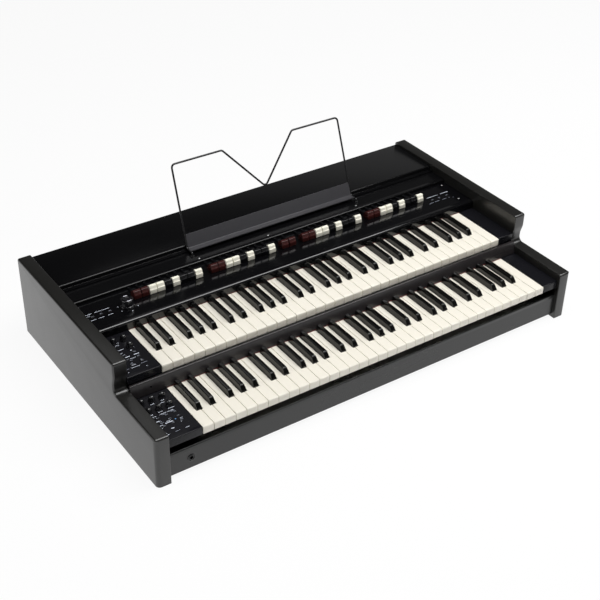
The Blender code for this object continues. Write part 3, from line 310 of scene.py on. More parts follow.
def paint(name, colour, roughness, grain, metallic=0.0, spread=0.06, specular=0.5, sheen=0.0, glow=None):
    """A Principled finish with the shared grain in its colour and normal, and smears in its gloss."""
    made, nodes, links, shader = new_material(name)
    fine = nodes.new("ShaderNodeGroup")
    fine.node_tree = GRAIN
    wiped = nodes.new("ShaderNodeGroup")
    wiped.node_tree = WIPE
    for node, values in (
            (shader, {"Metallic": metallic, "Specular IOR Level": specular, "Sheen Weight": sheen}),
            (fine, dict(zip(("Scale", "Depth", "Contrast"), grain))),
            (wiped, {"Roughness": roughness, "Spread": spread})):
        for socket, value in values.items():
            node.inputs[socket].default_value = value
    tint = nodes.new("ShaderNodeVectorMath")
    tint.operation = "SCALE"
    tint.inputs[0].default_value = colour
    wire(links, (fine.outputs["Tone"], tint.inputs["Scale"]), (tint.outputs[0], shader.inputs["Base Color"]),
         (fine.outputs["Normal"], shader.inputs["Normal"]),
         (wiped.outputs["Roughness"], shader.inputs["Roughness"]))
    if glow:
        shader.inputs["Emission Color"].default_value = (*glow[0], 1.0)
        shader.inputs["Emission Strength"].default_value = glow[1]
    return made


FINISHES = {
    "cabinet": paint("satin_black_paint", (0.008, 0.0078, 0.0068), 0.3, (700.0, 2e-5, 0.3), specular=0.8),
    "sheet": paint("black_powder_coat", (0.0028, 0.0028, 0.0032), 0.19, (1500.0, 1e-5, 0.4)),
    "front": paint("rail_powder_coat", (0.006, 0.0064, 0.0064), 0.28, (1500.0, 1e-5, 0.4), specular=0.6),
    "shelf": paint("gloss_powder_coat", (0.0028, 0.0028, 0.0032), 0.17, (1500.0, 1e-5, 0.4)),
    "panel": paint("gloss_black_panel", (0.0024, 0.0024, 0.003), 0.14, (300.0, 2e-6, 0.1), spread=0.03,
                   specular=0.75),
    "rail": paint("satin_dark_rail", (0.026, 0.023, 0.024), 0.22, (1300.0, 1e-5, 0.3)),
    "block": paint("satin_black_block", (0.0075, 0.0075, 0.0095), 0.24, (1300.0, 1e-5, 0.3), specular=0.25),
    "ivory_key": paint("ivory_key", (0.86, 0.82, 0.72), 0.26, (240.0, 1e-5, 0.02)),
    "black_key": paint("ebony_key", (0.003, 0.003, 0.0028), 0.12, (1200.0, 1e-5, 0.3), spread=0.03),
    "brown": paint("brown_cap", (0.045, 0.0105, 0.0095), 0.13, (400.0, 5e-6, 0.1)),
    "ivory": paint("ivory_cap", (0.92, 0.89, 0.76), 0.24, (400.0, 1e-5, 0.02)),
    "black": paint("black_cap", (0.003, 0.003, 0.0038), 0.15, (400.0, 5e-6, 0.1)),
    "knob": paint("knob_black", (0.0085, 0.0085, 0.01), 0.13, (900.0, 3e-6, 0.2), specular=0.8),
    "chrome": paint("smoked_chrome", (0.2, 0.2, 0.22), 0.1, (500.0, 4e-6, 0.05), 1.0),
    "wire": paint("black_wire", (0.008, 0.008, 0.0088), 0.24, (1500.0, 1e-5, 0.3)),
    "plate": paint("grey_ledge", (0.046, 0.045, 0.05), 0.4, (1500.0, 2e-5, 0.4)),
    "felt": paint("red_felt", (0.15, 0.022, 0.018), 0.95, (2600.0, 2e-4, 0.9), sheen=0.3, specular=0.1),
    "steel": paint("screw_steel", (0.5, 0.5, 0.5), 0.3, (900.0, 1e-5, 0.1), 1.0),
    "zinc": paint("zinc_bed", (0.42, 0.43, 0.43), 0.45, (120.0, 1e-5, 0.35), 1.0),
    "socket": paint("socket_plate_paint", (0.012, 0.012, 0.013), 0.38, (1200.0, 2e-5, 0.3)),
    "socket_black": paint("socket_black", (0.002, 0.002, 0.0024), 0.14, (900.0, 1e-5, 0.2)),
    "rubber": paint("button_rubber", (0.012, 0.012, 0.0135), 0.22, (1800.0, 1e-5, 0.3)),
    "board": paint("circuit_board", (0.02, 0.12, 0.05), 0.4, (150.0, 1e-5, 0.5)),
    "ink": paint("pale_ink", (0.62, 0.66, 0.74), 0.6, (2000.0, 1e-5, 0.3)),
    "dim_ink": paint("dim_ink", (0.22, 0.24, 0.29), 0.6, (2000.0, 1e-5, 0.3)),
    "blue": paint("blue_light", (0.1, 0.28, 0.5), 0.3, (900.0, 1e-5, 0.1), glow=((0.2, 0.5, 1.0), 0.35)),
}


# Shapes: each is a pair of points and faces

def skin(rings, loop=False):
    """Quads between each closed ring and the next; a loop also joins the last to the first, with no end caps."""
    rings = np.asarray(rings, float)
    rows, columns = rings.shape[:2]
    index = np.arange(rows * columns).reshape(rows, columns)
    here = np.vstack([index, index[:1]]) if loop else index
    after = np.roll(here, -1, axis=1)
    quads = np.stack([here[:-1], after[:-1], after[1:], here[1:]], axis=-1).reshape(-1, 4).tolist()
    if not loop:
        quads += [index[0][::-1].tolist(), index[-1].tolist()]
    return rings.reshape(-1, 3), quads


def boxes(xs, ys, zs):
    """Boxes between two edges along each axis, each edge a number or an array with one for every box."""
    lows, highs = (np.stack(np.broadcast_arrays(*ends), axis=-1).reshape(-1, 3) for ends in zip(xs, ys, zs))
    picks = np.array([(x, y, z) for z in (0, 1) for x, y in ((0, 0), (1, 0), (1, 1), (0, 1))])
    points = lows[:, None] + (highs - lows)[:, None] * picks
    quads = np.array([(3, 2, 1, 0), (4, 5, 6, 7), (0, 1, 5, 4), (1, 2, 6, 5), (2, 3, 7, 6), (3, 0, 4, 7)])
    faces = quads + 8 * np.arange(len(points))[:, None, None]
    return points.reshape(-1, 3), faces.reshape(-1, 4).tolist()


def around(middle, reach):
    """The two edges that lie a reach to either side of a middle."""
    return middle - reach, middle + reach


def quarter(steps):
    """A quarter turn's 1 - cos t and 1 - sin t, for t from 0 to 90 degrees."""
    turn = np.linspace(0, math.pi / 2, steps + 1)
    return 1 - np.cos(turn), 1 - np.sin(turn)


def rounded(corners, radii, steps=4):
    """A closed outline: each corner becomes an arc, blended between its two tangent points."""
    corners = np.asarray(corners, float)
    radii = np.broadcast_to(np.asarray(radii, float), len(corners))[:, None]
    before = np.roll(corners, 1, axis=0) - corners
    after = np.roll(corners, -1, axis=0) - corners
    before /= np.linalg.norm(before, axis=1, keepdims=True)
    after /= np.linalg.norm(after, axis=1, keepdims=True)
    half = np.arccos(np.clip((before * after).sum(1, keepdims=True), -1, 1)) / 2
    middle = before + after
    middle /= np.linalg.norm(middle, axis=1, keepdims=True)
    centre = corners + middle * radii / np.sin(half)
    start = corners + before * radii / np.tan(half) - centre
    end = corners + after * radii / np.tan(half) - centre
    sweep = (math.pi - 2 * half)[:, None]
    share = np.linspace(0, 1, steps + 1)[None, :, None]
    turned = start[:, None] * np.sin((1 - share) * sweep) + end[:, None] * np.sin(share * sweep)
    return (centre[:, None] + turned / np.sin(sweep)).reshape(-1, corners.shape[1])


def open_rounded(points, radii, steps=5):
    """A path in two or three dimensions with its inner corners rounded."""
    points = np.asarray(points, float)
    arcs = rounded(points, np.concatenate([[0.001], radii, [0.001]]), steps)
    return np.vstack([points[:1], arcs[steps + 1:-steps - 1], points[-1:]])


def inward(outline):
    """Unit normals that point into a closed outline, from the points on either side."""
    along = np.roll(outline, -1, axis=0) - np.roll(outline, 1, axis=0)
    along /= np.linalg.norm(along, axis=1, keepdims=True)
    normals = np.stack([-along[:, 1], along[:, 0]], axis=1)
    edge = np.roll(outline, -1, axis=0) - outline
    area = (outline[:, 0] * edge[:, 1] - outline[:, 1] * edge[:, 0]).sum()
    return normals if area > 0 else -normals


def block_rings(outline, start, end, start_rim, end_rim, steps=4, normals=None):
    """Rings of an extruded outline: at each end the inset is r(1 - sin t) and the depth r(1 - cos t)."""
    normals = inward(outline) if normals is None else normals
    rings = []
    for level, rim, sign in ((start, start_rim, 1), (end, end_rim, -1)):
        rim = np.broadcast_to(np.asarray(rim, float), len(outline))
        for depth, inset in list(zip(*quarter(steps)))[::sign]:
            flat = outline + normals * (rim * inset)[:, None]
            rings.append(np.column_stack([flat, level + sign * rim * depth]))
    return np.array(rings)


def lay(rings, order):
    """Turn (u, v, w) rings into XYZ: order names the axis that each of them becomes."""
    return rings[..., [order.index(axis) for axis in "xyz"]]


def upright(shape, place, way):
    """A shape turned about Z, laid with its axis along Y: way is -1 towards the player and 1 towards the rear."""
    points, faces = shape
    return np.asarray(place) + points[:, [0, 2, 1]] * (1, way, 1), faces


def turned(profile, centre=(0, 0, 0), sides=40, loop=False):
    """Each (r, h) of a profile becomes the circle (r cos a, r sin a, h); a loop makes a closed section a ring."""
    radii, heights = np.asarray(profile, float).T[..., None]
    angles = np.linspace(0, 2 * math.pi, sides, endpoint=False)
    rings = np.stack([radii * np.cos(angles), radii * np.sin(angles), heights + 0 * angles], axis=-1)
    return skin(rings + np.asarray(centre, float), loop)


def tube(path, radius, sides=12):
    """A round wire: circles carried along a path, each turned from the last without twist."""
    path = np.asarray(path, float)
    tangents = np.gradient(path, axis=0)
    tangents /= np.linalg.norm(tangents, axis=1, keepdims=True)
    side = np.cross(tangents[0], (0.31, 0.52, 0.79))
    first = []
    for tangent in tangents:
        side = side - tangent * side.dot(tangent)
        side = side / np.linalg.norm(side)
        first.append(side)
    second = np.cross(tangents, first)
    angles = np.linspace(0, 2 * math.pi, sides, endpoint=False)[None, :, None]
    circles = np.array(first)[:, None] * np.cos(angles) + second[:, None] * np.sin(angles)
    return skin(path[:, None] + radius * circles)


def swept(outline, x_low, x_high, rim=0.0003):
    """A YZ outline carried along X between two ends with slightly broken edges."""
    return skin(lay(block_rings(outline, x_low, x_high, rim, rim, 2), "yzx"))


def fold(points, radii, thickness, x_low, x_high, steps=8, rim=0.0003):
    """A bent sheet: a rounded YZ path, and the same path moved left by the thickness, carried along X."""
    path = open_rounded(points, radii, steps)
    tangents = np.gradient(path, axis=0)
    tangents /= np.linalg.norm(tangents, axis=1, keepdims=True)
    left = np.column_stack([-tangents[:, 1], tangents[:, 0]])
    return swept(np.vstack([path, (path + left * thickness)[::-1]]), x_low, x_high, rim)


def pierced_plate(low, high, holes=()):
    """A flat plate on the grid of its own and its holes' edges: the cells inside a hole are left out.

    A hole is (x_low, y_low, x_high, y_high), and a wall stands wherever a kept cell meets an open one.
    """
    holes = np.asarray(holes, float).reshape(-1, 4)
    xs = np.unique(np.concatenate([[low[0], high[0]], holes[:, 0], holes[:, 2]]))
    ys = np.unique(np.concatenate([[low[1], high[1]], holes[:, 1], holes[:, 3]]))
    mid_x = ((xs[:-1] + xs[1:]) / 2)[:, None, None]
    mid_y = ((ys[:-1] + ys[1:]) / 2)[None, :, None]
    inside = (mid_x > holes[:, 0]) & (mid_x < holes[:, 2]) & (mid_y > holes[:, 1]) & (mid_y < holes[:, 3])
    kept = ~inside.any(axis=2)
    index = np.arange(len(xs) * len(ys) * 2).reshape(len(xs), len(ys), 2)
    points = np.stack(np.meshgrid(xs, ys, [low[2], high[2]], indexing="ij"), axis=-1).reshape(-1, 3)
    cells = np.stack([index[:-1, :-1], index[1:, :-1], index[1:, 1:], index[:-1, 1:]], axis=-1)[kept]
    edged = np.pad(kept, 1)
    across = edged[:-1, 1:-1] != edged[1:, 1:-1]
    along = edged[1:-1, :-1] != edged[1:-1, 1:]
    walls_x = np.stack([index[:, :-1, 0], index[:, 1:, 0], index[:, 1:, 1], index[:, :-1, 1]], axis=-1)[across]
    walls_y = np.stack([index[:-1, :, 0], index[1:, :, 0], index[1:, :, 1], index[:-1, :, 1]], axis=-1)[along]
    faces = cells[:, 1].tolist() + cells[:, 0, ::-1].tolist() + walls_x.tolist() + walls_y.tolist()
    return points, faces


def hole(x, y, reach, reach_y=None):
    """A hole's four edges round its middle: square, unless its reach along Y is given."""
    reach_y = reach if reach_y is None else reach_y
    return x - reach, y - reach_y, x + reach, y + reach_y


def middle_of(node):
    """The middle of a node's box."""
    return np.mean([list(corner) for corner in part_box(node)], axis=0)


def link_object(name, data):
    """A new object in the scene."""
    made = bpy.data.objects.new(name, data)
    bpy.context.scene.collection.objects.link(made)
    return made


def piece(name, shapes, finish, body="case", replaces=(), angle=SMOOTH_ANGLE):
    """One named piece from its shapes, with its finish, its body and what it stands for."""
    points, faces, count = [], [], 0
    for shape_points, shape_faces in shapes:
        points.append(shape_points)
        faces += [[corner + count for corner in face] for face in shape_faces]
        count += len(shape_points)
    mesh = bpy.data.meshes.new(name)
    mesh.from_pydata(np.vstack(points).tolist(), [], faces)
    bm = bmesh.new()
    bm.from_mesh(mesh)
    bmesh.ops.recalc_face_normals(bm, faces=bm.faces)
    bm.to_mesh(mesh)
    bm.free()
    mesh.shade_smooth()
    mesh.set_sharp_from_angle(angle=math.radians(angle))
    mesh.materials.append(FINISHES[finish])
    made = link_object(name, mesh)
    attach(made, body)
    if replaces:
        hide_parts(*replaces)
    return made


# Camera, light and floor

def aim(thing, place, right, up, ahead):
    """Place a camera or a lamp and turn it: its X is right, its Y up, and it looks ahead along -Z."""
    thing.matrix_world = Matrix([[right[i], up[i], -ahead[i], place[i]] for i in range(3)] + [[0, 0, 0, 1]])


def add_camera():
    """The camera, turned by yaw, pitch and roll from looking along +Y."""
    yaw, pitch, roll = np.radians(CAMERA_TURN)
    ahead = np.array([math.sin(yaw) * math.cos(pitch), math.cos(yaw) * math.cos(pitch), -math.sin(pitch)])
    level = np.array([math.cos(yaw), -math.sin(yaw), 0.0])
    above = np.cross(level, ahead)
    data = bpy.data.cameras.new("view")
    data.lens = CAMERA_LENS
    camera = link_object("view", data)
    aim(camera, CAMERA_PLACE, level * math.cos(roll) + above * math.sin(roll),
        above * math.cos(roll) - level * math.sin(roll), ahead)
    bpy.context.scene.camera = camera


def add_soft_light(name, place, target, size, power):
    """A rectangular soft light at a place, aimed at a target, its first side level."""
    data = bpy.data.lights.new(name, "AREA")
    data.shape = "RECTANGLE"
    data.size, data.size_y = size
    data.energy = power
    ahead = np.subtract(target, place)
    ahead /= np.linalg.norm(ahead)
    right = np.cross(ahead, (0.0, 0.0, 1.0)) if abs(ahead[2]) < 0.99 else np.array([1.0, 0.0, 0.0])
    right /= np.linalg.norm(right)
    aim(link_object(name, data), place, right, np.cross(right, ahead), ahead)


def add_world():
    """White to the camera; for light and reflections, pale at the horizon and dark above."""
    world = bpy.data.worlds.new("studio")
    bpy.context.scene.world = world
    world.use_nodes = True
    nodes, links = world.node_tree.nodes, world.node_tree.links
    place = nodes.new("ShaderNodeTexCoord")
    split = nodes.new("ShaderNodeSeparateXYZ")
    ramp = nodes.new("ShaderNodeValToRGB")
    stops = ((0.3, 0.15), (0.42, 0.09), (0.48, 0.04), (0.54, 0.012))
    for number, (position, level) in enumerate(stops):
        stop = ramp.color_ramp.elements[number] if number < 2 else ramp.color_ramp.elements.new(position)
        stop.position = position
        stop.color = (level, level, level, 1.0)
    rays = nodes.new("ShaderNodeLightPath")
    mix = nodes.new("ShaderNodeMix")
    mix.data_type = "RGBA"
    mix.inputs["B"].default_value = (1.0, 1.0, 1.0, 1.0)
    wire(links, (place.outputs["Generated"], split.inputs[0]), (split.outputs["Z"], ramp.inputs["Fac"]),
         (ramp.outputs["Color"], mix.inputs["A"]), (rays.outputs["Is Camera Ray"], mix.inputs["Factor"]),
         (mix.outputs["Result"], nodes["Background"].inputs["Color"]))


def add_floor():
    """A white floor that keeps a faint shadow: part of what a camera or a reflection sees is plain white."""
    points, faces = boxes(around(0.0, FLOOR_REACH), around(0.0, FLOOR_REACH), FLOOR_LEVELS)
    mesh = bpy.data.meshes.new("floor")
    mesh.from_pydata(points.tolist(), [], faces)
    floor = link_object("floor", mesh)
    made, nodes, links, shader = new_material("white_floor")
    shader.inputs["Base Color"].default_value = (0.92, 0.92, 0.92, 1.0)
    shader.inputs["Roughness"].default_value = 0.9
    shader.inputs["Specular IOR Level"].default_value = 0.0
    glow = nodes.new("ShaderNodeEmission")
    rays = nodes.new("ShaderNodeLightPath")
    either = math_node(nodes, "MAXIMUM")
    share = math_node(nodes, "MULTIPLY", None, FLOOR_GLOW)
    mix = nodes.new("ShaderNodeMixShader")
    wire(links, (rays.outputs["Is Camera Ray"], either.inputs[0]),
         (rays.outputs["Is Glossy Ray"], either.inputs[1]),
         (either.outputs[0], share.inputs[0]), (share.outputs[0], mix.inputs["Fac"]),
         (shader.outputs[0], mix.inputs[1]), (glow.outputs[0], mix.inputs[2]),
         (mix.outputs[0], nodes["Material Output"].inputs["Surface"]))
    mesh.materials.append(made)


# Cheeks

def cheek_outline():
    """The stepped side in YZ, with each point's rim: wide at the front's upright, narrow elsewhere.

    Corners are quarter circles, and the sway from waist to brow follows s^2 (3 - 2 s).
    """
    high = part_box("left_cheek")[1]
    nose = FRONT + CHEEK_NOSE
    foot = nose + CHEEK_UNDERCUT - CHEEK_COVE
    ahead, fall = quarter(6)
    arc = CHEEK_CORNER * np.column_stack([ahead, -fall])
    cove = np.column_stack([foot + CHEEK_COVE * (1 - fall), CHEEK_LOW + CHEEK_COVE * ahead])
    share = np.linspace(0, 1, 9)[1:-1]
    blend = share * share * (3 - 2 * share)
    waist, brow = CHEEK_LOW + CHEEK_COVE + CHEEK_WAIST, high.z - CHEEK_BROW
    sway = np.column_stack([nose + CHEEK_UNDERCUT * (1 - blend), waist + (brow - waist) * share])
    points = np.vstack([[(FRONT, 0), (FRONT, 0.03), (FRONT, 0.07)], arc + (FRONT, CHEEK_LOW), cove, sway,
                        arc + (nose, high.z), (arc * (-1, 1))[::-1] + (high.y, high.z), [(high.y, 0)]])
    rim = np.full(len(points), CHEEK_RIM)
    rim[:3] = CHEEK_FRONT_RIM
    rim[3:10] += (CHEEK_FRONT_RIM - CHEEK_RIM) * (1 - ahead) ** 2
    return points, rim


def add_cheeks():
    """The two cheeks: wide rims outside, narrow ones inside, and the foot drawn in level along the floor."""
    points, outer_rim = cheek_outline()
    inner_rim = np.minimum(outer_rim, CHEEK_INNER_RIM)
    normals = inward(points)
    normals[[0, -1]] = ((1, 0), (-1, 0))
    for node, outer_is_low in (("left_cheek", True), ("right_cheek", False)):
        low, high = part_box(node)
        rims = (outer_rim, inner_rim) if outer_is_low else (inner_rim, outer_rim)
        rings = block_rings(points, low.x, high.x, rims[0], rims[1], 6, normals)
        piece(node + "_shell", [skin(lay(rings, "yzx"))], "cabinet", replaces=[node])


# Middle rail, felt and screws

def add_middle_rail():
    """The rail between the manuals: a leaning face under a bright rounded brow."""
    low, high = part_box("middle_rail")
    corners = [(low.y, low.z), (low.y + RAIL_LEAN, high.z), (high.y, high.z), (high.y, low.z)]
    outline = rounded(corners, RAIL_BENDS, 5)
    piece("middle_rail_shell", [swept(outline, low.x, high.x)], "rail",
          replaces=["middle_rail"])


def add_felts():
    """A felt strip along the foot of the fascia and of the middle rail, just over the naturals."""
    low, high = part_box("upper_naturals")
    for name, (front, top) in MANUALS.items():
        face, foot = front + KEY_SHOW, top + FELT_CLEARANCE
        strip = boxes((low.x, high.x), around(face, FELT_DEPTH), (foot, foot + FELT_HEIGHT))
        piece(name + "_felt", [strip], "felt")


def add_screws():
    """Small dome-headed screws on the shelf, the panel and the middle rail."""
    inset, fall = quarter(5)
    dome = np.column_stack([SCREW_RADIUS * (1 - inset), SCREW_DOME * (1 - fall)])
    dome = np.vstack([[(SCREW_RADIUS, -SCREW_SINK)], dome[:-1], [(0.0001, SCREW_DOME)]])
    for number, (x, y, z) in enumerate(SCREW_PLACES, 1):
        piece(f"screw_{number}", [turned(dome, (cad_low[0] + x, FRONT + y, z), 20)], "steel")
    low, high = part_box("middle_rail")
    for side, x in (("left", low.x + RAIL_SCREW_INSETS[0]), ("right", high.x - RAIL_SCREW_INSETS[1])):
        place = (x, low.y + RAIL_LEAN / 2, (low.z + high.z) / 2)
        piece(f"rail_screw_{side}", [upright(turned(dome, sides=20), place, -1)], "socket_black")


# Folded sheets and blocks: a smooth bend that meets a flat plate with its openings

def add_lid():
    """The folded lid: a front flange on the shelf, a front, the top and a rear flange."""
    low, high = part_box("lid")
    foot = SHELF_TOP + SEAT_GAP + LID_SHEET
    front = low.y + LID_FLANGE
    corners = [(low.y, foot), (front, foot), (front, high.z), (high.y, high.z), (high.y, low.z)]
    sheet = fold(corners, [SEAT_GAP, FOLD_RADIUS, FOLD_RADIUS], -LID_SHEET, low.x, high.x)
    piece("lid_shell", [sheet], "sheet", replaces=["lid"], angle=FOLD_ANGLE)


def pin_places():
    """Where the music stand's pins go through the shelf and the panel."""
    x, y = middle_of("music_stand")[0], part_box("music_stand")[0].y + STAND_RADIUS
    return [(pin, y) for pin in around(x, STAND_FEET / 2)]


def pin_holes():
    """The openings round the music stand's pins."""
    return [hole(x, y, STAND_RADIUS + SHAFT_GAP) for x, y in pin_places()]


def stem_places():
    """The middles of all the drawbars, from the left."""
    places = [start + i * DRAWBAR_PITCH for start in DRAWBAR_SETS for i in range(len(CAP_COLOURS))]
    return LEFT + np.sort(places + list(PAIR_PLACES))


def add_shelf():
    """The shelf, its bend and slotted lip over the drawbars, and the two holders of the music stand."""
    low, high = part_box("stand_shelf")
    seam = low.y + SHEET_SEAM
    slot_top = low.z + STEM_HEIGHT + SLOT_GAP
    plate = pierced_plate((low.x, seam, SHELF_TOP - SHELF_SHEET), (high.x, high.y, SHELF_TOP), pin_holes())
    bend = fold([(seam, SHELF_TOP), (low.y, SHELF_TOP), (low.y, slot_top)], [FOLD_RADIUS], SHELF_SHEET,
                low.x, high.x)
    half = STEM_WIDTH / 2 + SLOT_GAP
    starts = np.concatenate([[low.x], stem_places() + half])
    ends = np.concatenate([stem_places() - half, [high.x]])
    teeth = boxes((starts, ends), (low.y, low.y + SHELF_SHEET), (low.z, slot_top))
    inner, outer, top = STAND_RADIUS + SHAFT_GAP, HOLDER_RADIUS, HOLDER_HEIGHT
    section = [(inner, -0.001), (outer, -0.001), (outer, top - 0.0004), (outer - 0.0004, top),
               (inner + 0.0003, top), (inner, top - 0.0003)]
    holders = [turned(section, (x, y, SHELF_TOP), 28, loop=True) for x, y in pin_places()]
    piece("shelf_shell", [plate, bend, teeth] + holders, "shelf", replaces=["stand_shelf"],
          angle=FOLD_ANGLE)


def button_places(group):
    """The middles of one group's buttons, row by row."""
    columns, rows = BUTTON_GROUPS[group]
    return [(LEFT + column, FRONT + row) for row in rows for column in columns]


def window_holes(group):
    """The openings of one group's buttons."""
    return [hole(x, y, *(np.array(BUTTON_SIZE) / 2 + SEAT_GAP)) for x, y in button_places(group)]


def knob_holes(names):
    """The openings of the knobs' shafts, hidden under their skirts."""
    return [hole(*middle_of(name)[:2], KNOB_SHAFT + SHAFT_GAP) for name in names]


def add_panel():
    """The glossy panel under the drawbars, bent down in front into the leaning fascia."""
    low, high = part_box("drawbar_panel")
    seam = low.y + PANEL_SEAM
    holes = knob_holes(["vibrato_knob"]) + window_holes("left_panel_buttons")
    holes += window_holes("right_panel_buttons") + pin_holes()
    plate = pierced_plate((low.x, seam, high.z - SHEET), (high.x, high.y, high.z), holes)
    bend = fold([(seam, high.z), (low.y + FASCIA_LEAN, high.z), (low.y, MANUALS["upper"][1] + FASCIA_CLEARANCE)],
                [FASCIA_RADIUS], SHEET, low.x, high.x, 10)
    piece("panel_shell", [plate, bend], "panel", replaces=["drawbar_panel"],
          angle=FOLD_ANGLE)


def add_front_rail():
    """The upright rail with its socket's opening, bent back under the keys."""
    low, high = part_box("front_rail")
    x, _, z = middle_of("headphone_socket")
    seam = high.z - SHEET_SEAM
    points, faces = pierced_plate((low.x, low.z, low.y), (high.x, seam, low.y + SHEET), [hole(x, z, SOCKET_HOLE)])
    bend = fold([(low.y, seam), (low.y, high.z), (high.y, high.z)], [RAIL_RADIUS], -SHEET, low.x, high.x)
    piece("front_rail_shell", [(lay(points, "xzy"), faces), bend], "front",
          replaces=["front_rail"], angle=FOLD_ANGLE)


def add_blocks():
    """The four end blocks: a rounded front and lip, a top with its openings, and walls below it."""
    for side, manual in (("control", "lower"), ("control", "upper"), ("end", "lower"), ("end", "upper")):
        node = f"{manual}_{side}_block"
        low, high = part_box(node)
        left, right = low.x + BLOCK_WALL, high.x - BLOCK_WALL
        near, back = low.y + BLOCK_WALL, high.y - BLOCK_WALL
        seam, step = low.y + SHEET_SEAM, low.y + BLOCK_OVERHANG
        lip, under = high.z - BLOCK_LIP, high.z - BLOCK_WALL
        holes = []
        if side == "control":
            holes = knob_holes(KNOB_NAMES[manual]) + window_holes(manual + "_block_buttons")
        bend = fold([(low.y, lip), (low.y, high.z), (seam, high.z)], [BLOCK_EDGE], -BLOCK_WALL, low.x, high.x,
                    rim=BLOCK_RIM)
        plate = pierced_plate((low.x, seam, under), (high.x, high.y, high.z), holes)
        walls = boxes(([low.x, right, low.x, right, left], [left, high.x, left, high.x, right]),
                      ([near, near, step, step, back], [step, step, high.y, high.y, high.y]),
                      ([lip, lip, low.z, low.z, low.z], under))
        piece(node + "_shell", [bend, plate, walls], "block", replaces=[node], angle=FOLD_ANGLE)


# Keys

def sections(across, ys, up):
    """The solid through sections along Y, from their X and Z places."""
    return skin(np.stack([across, np.broadcast_to(ys[:, None], across.shape), up], axis=-1))


def natural_shape(index, front, top):
    """A rounded box whose sides step in for the sharps; its nose is y = r(1 - cos t), z = -r(1 - sin t)."""
    left = KEYS_LEFT + index * NATURAL_PITCH
    notch = SHARP_WIDTH / 2 + KEY_GAP
    degree = index % 7
    head = np.array([left + KEY_GAP / 2, left + NATURAL_PITCH - KEY_GAP / 2])
    tail = head.copy()
    if degree in SHARP_SHIFTS:
        tail[0] = left + SHARP_SHIFTS[degree] + notch
    if degree + 1 in SHARP_SHIFTS and index < NATURALS - 1:
        tail[1] = left + NATURAL_PITCH + SHARP_SHIFTS[degree + 1] - notch
    back, drop = quarter(6)
    shoulder = front + HEAD_LENGTH - KEY_GAP
    ys = np.concatenate([front + NATURAL_NOSE * back,
                         [shoulder - 0.0002, shoulder, front + HINGE_BACK - TAIL_SEAT]])
    pinch = np.zeros((len(ys), 1))
    pinch[:2, 0] = NATURAL_PINCH
    is_head = (ys < shoulder)[:, None]
    lefts = np.where(is_head, head[0], tail[0]) + pinch
    rights = np.where(is_head, head[1], tail[1]) - pinch
    high = top - np.concatenate([NATURAL_NOSE * drop, [0, 0, 0]])[:, None]
    foot = np.full_like(high, top - NATURAL_DEPTH)
    inset, fall = (NATURAL_EDGE * share for share in quarter(3))
    across = np.hstack([lefts, lefts + inset, rights - inset[::-1], rights])
    up = np.hstack([foot, high - fall, high - fall[::-1], foot])
    return sections(across, ys, up)


def sharp_shape(boundary, front, top):
    """A tapered, round-shouldered box whose nose rises along SHARP_NOSE, then its arm to the hinge."""
    middle = KEYS_LEFT + boundary * NATURAL_PITCH + SHARP_SHIFTS[boundary % 7]
    far = front + KEY_SHOW - KEY_GAP
    slope, rise = np.array(SHARP_NOSE).T
    ys = np.concatenate([front + HEAD_LENGTH + slope * SHARP_SLOPE, [far - 0.0004, far]])
    share = np.concatenate([rise, [1.0, 0.97]])[:, None]
    high = top + SHARP_RISE * share
    half = np.full((len(ys), 1), SHARP_WIDTH / 2)
    half[:3, 0] -= SHARP_PINCH
    half_top = half - (SHARP_WIDTH - SHARP_TOP_WIDTH) / 2 * share
    inset, fall = (np.minimum(SHARP_EDGE, 0.6 * SHARP_RISE * share) * part for part in quarter(4))
    level = np.full_like(high, top)
    belly = level - SHARP_BODY
    across = np.hstack([-half, -half, inset - half_top, (half_top - inset)[:, ::-1], half, half])
    up = np.hstack([belly, level, high - fall, (high - fall)[:, ::-1], level, belly])
    axis = front + HINGE_BACK + HINGE_STEP
    under = top - ARM_DROP
    sides = around(middle, SHARP_WIDTH / 2)
    return [sections(middle + across, ys, up),
            boxes(sides, (far - 0.001, axis), (under - SHARP_ARM, under)),
            boxes(sides, (axis - HINGE_RADIUS, axis), (top - HINGE_DROP, under - SHARP_ARM / 2))]


def add_row(manual, kind, first, last, body):
    """One body's naturals or sharps, each a piece of its own, with the round strip that they turn on."""
    front, top = MANUALS[manual]
    is_sharp = kind == "sharp"
    numbers = [i for i in range(first, last) if i % 7 in SHARP_SHIFTS or not is_sharp]
    back, shift = (HINGE_BACK + HINGE_STEP, 0.5) if is_sharp else (HINGE_BACK, 0.0)
    angles = np.linspace(0, 2 * math.pi, 16, endpoint=False)
    ring = np.column_stack([front + back + HINGE_RADIUS * np.cos(angles),
                            top - HINGE_DROP + HINGE_RADIUS * np.sin(angles)])
    strip = swept(ring, KEYS_LEFT + (numbers[0] - shift) * NATURAL_PITCH + KEY_GAP / 2,
                  KEYS_LEFT + (numbers[-1] + 1 - shift) * NATURAL_PITCH - KEY_GAP / 2)
    for i in numbers:
        shapes = sharp_shape(i, front, top) if is_sharp else [natural_shape(i, front, top)]
        finish, slot, label = ("black_key", "key_black", i) if is_sharp else ("ivory_key", "key_white", i + 1)
        carries_strip = i == numbers[0]
        piece(f"{manual}_{kind}_{label:02d}", shapes + [strip] * carries_strip, finish, body,
              [body] * carries_strip)


def add_keys():
    """Both manuals: the lowest octave of the lower one has a body for each key."""
    octave = len(NATURAL_NOTES)
    for index, note in enumerate(NATURAL_NOTES):
        add_row("lower", "natural", index, index + 1, f"lower_key_{note}")
    for boundary, note in SHARP_NOTES.items():
        add_row("lower", "sharp", boundary, boundary + 1, f"lower_key_{note}")
    for manual, first in (("lower", octave), ("upper", 0)):
        add_row(manual, "natural", first, NATURALS, manual + "_naturals")
        add_row(manual, "sharp", first, NATURALS - 1, manual + "_sharps")


# Drawbars

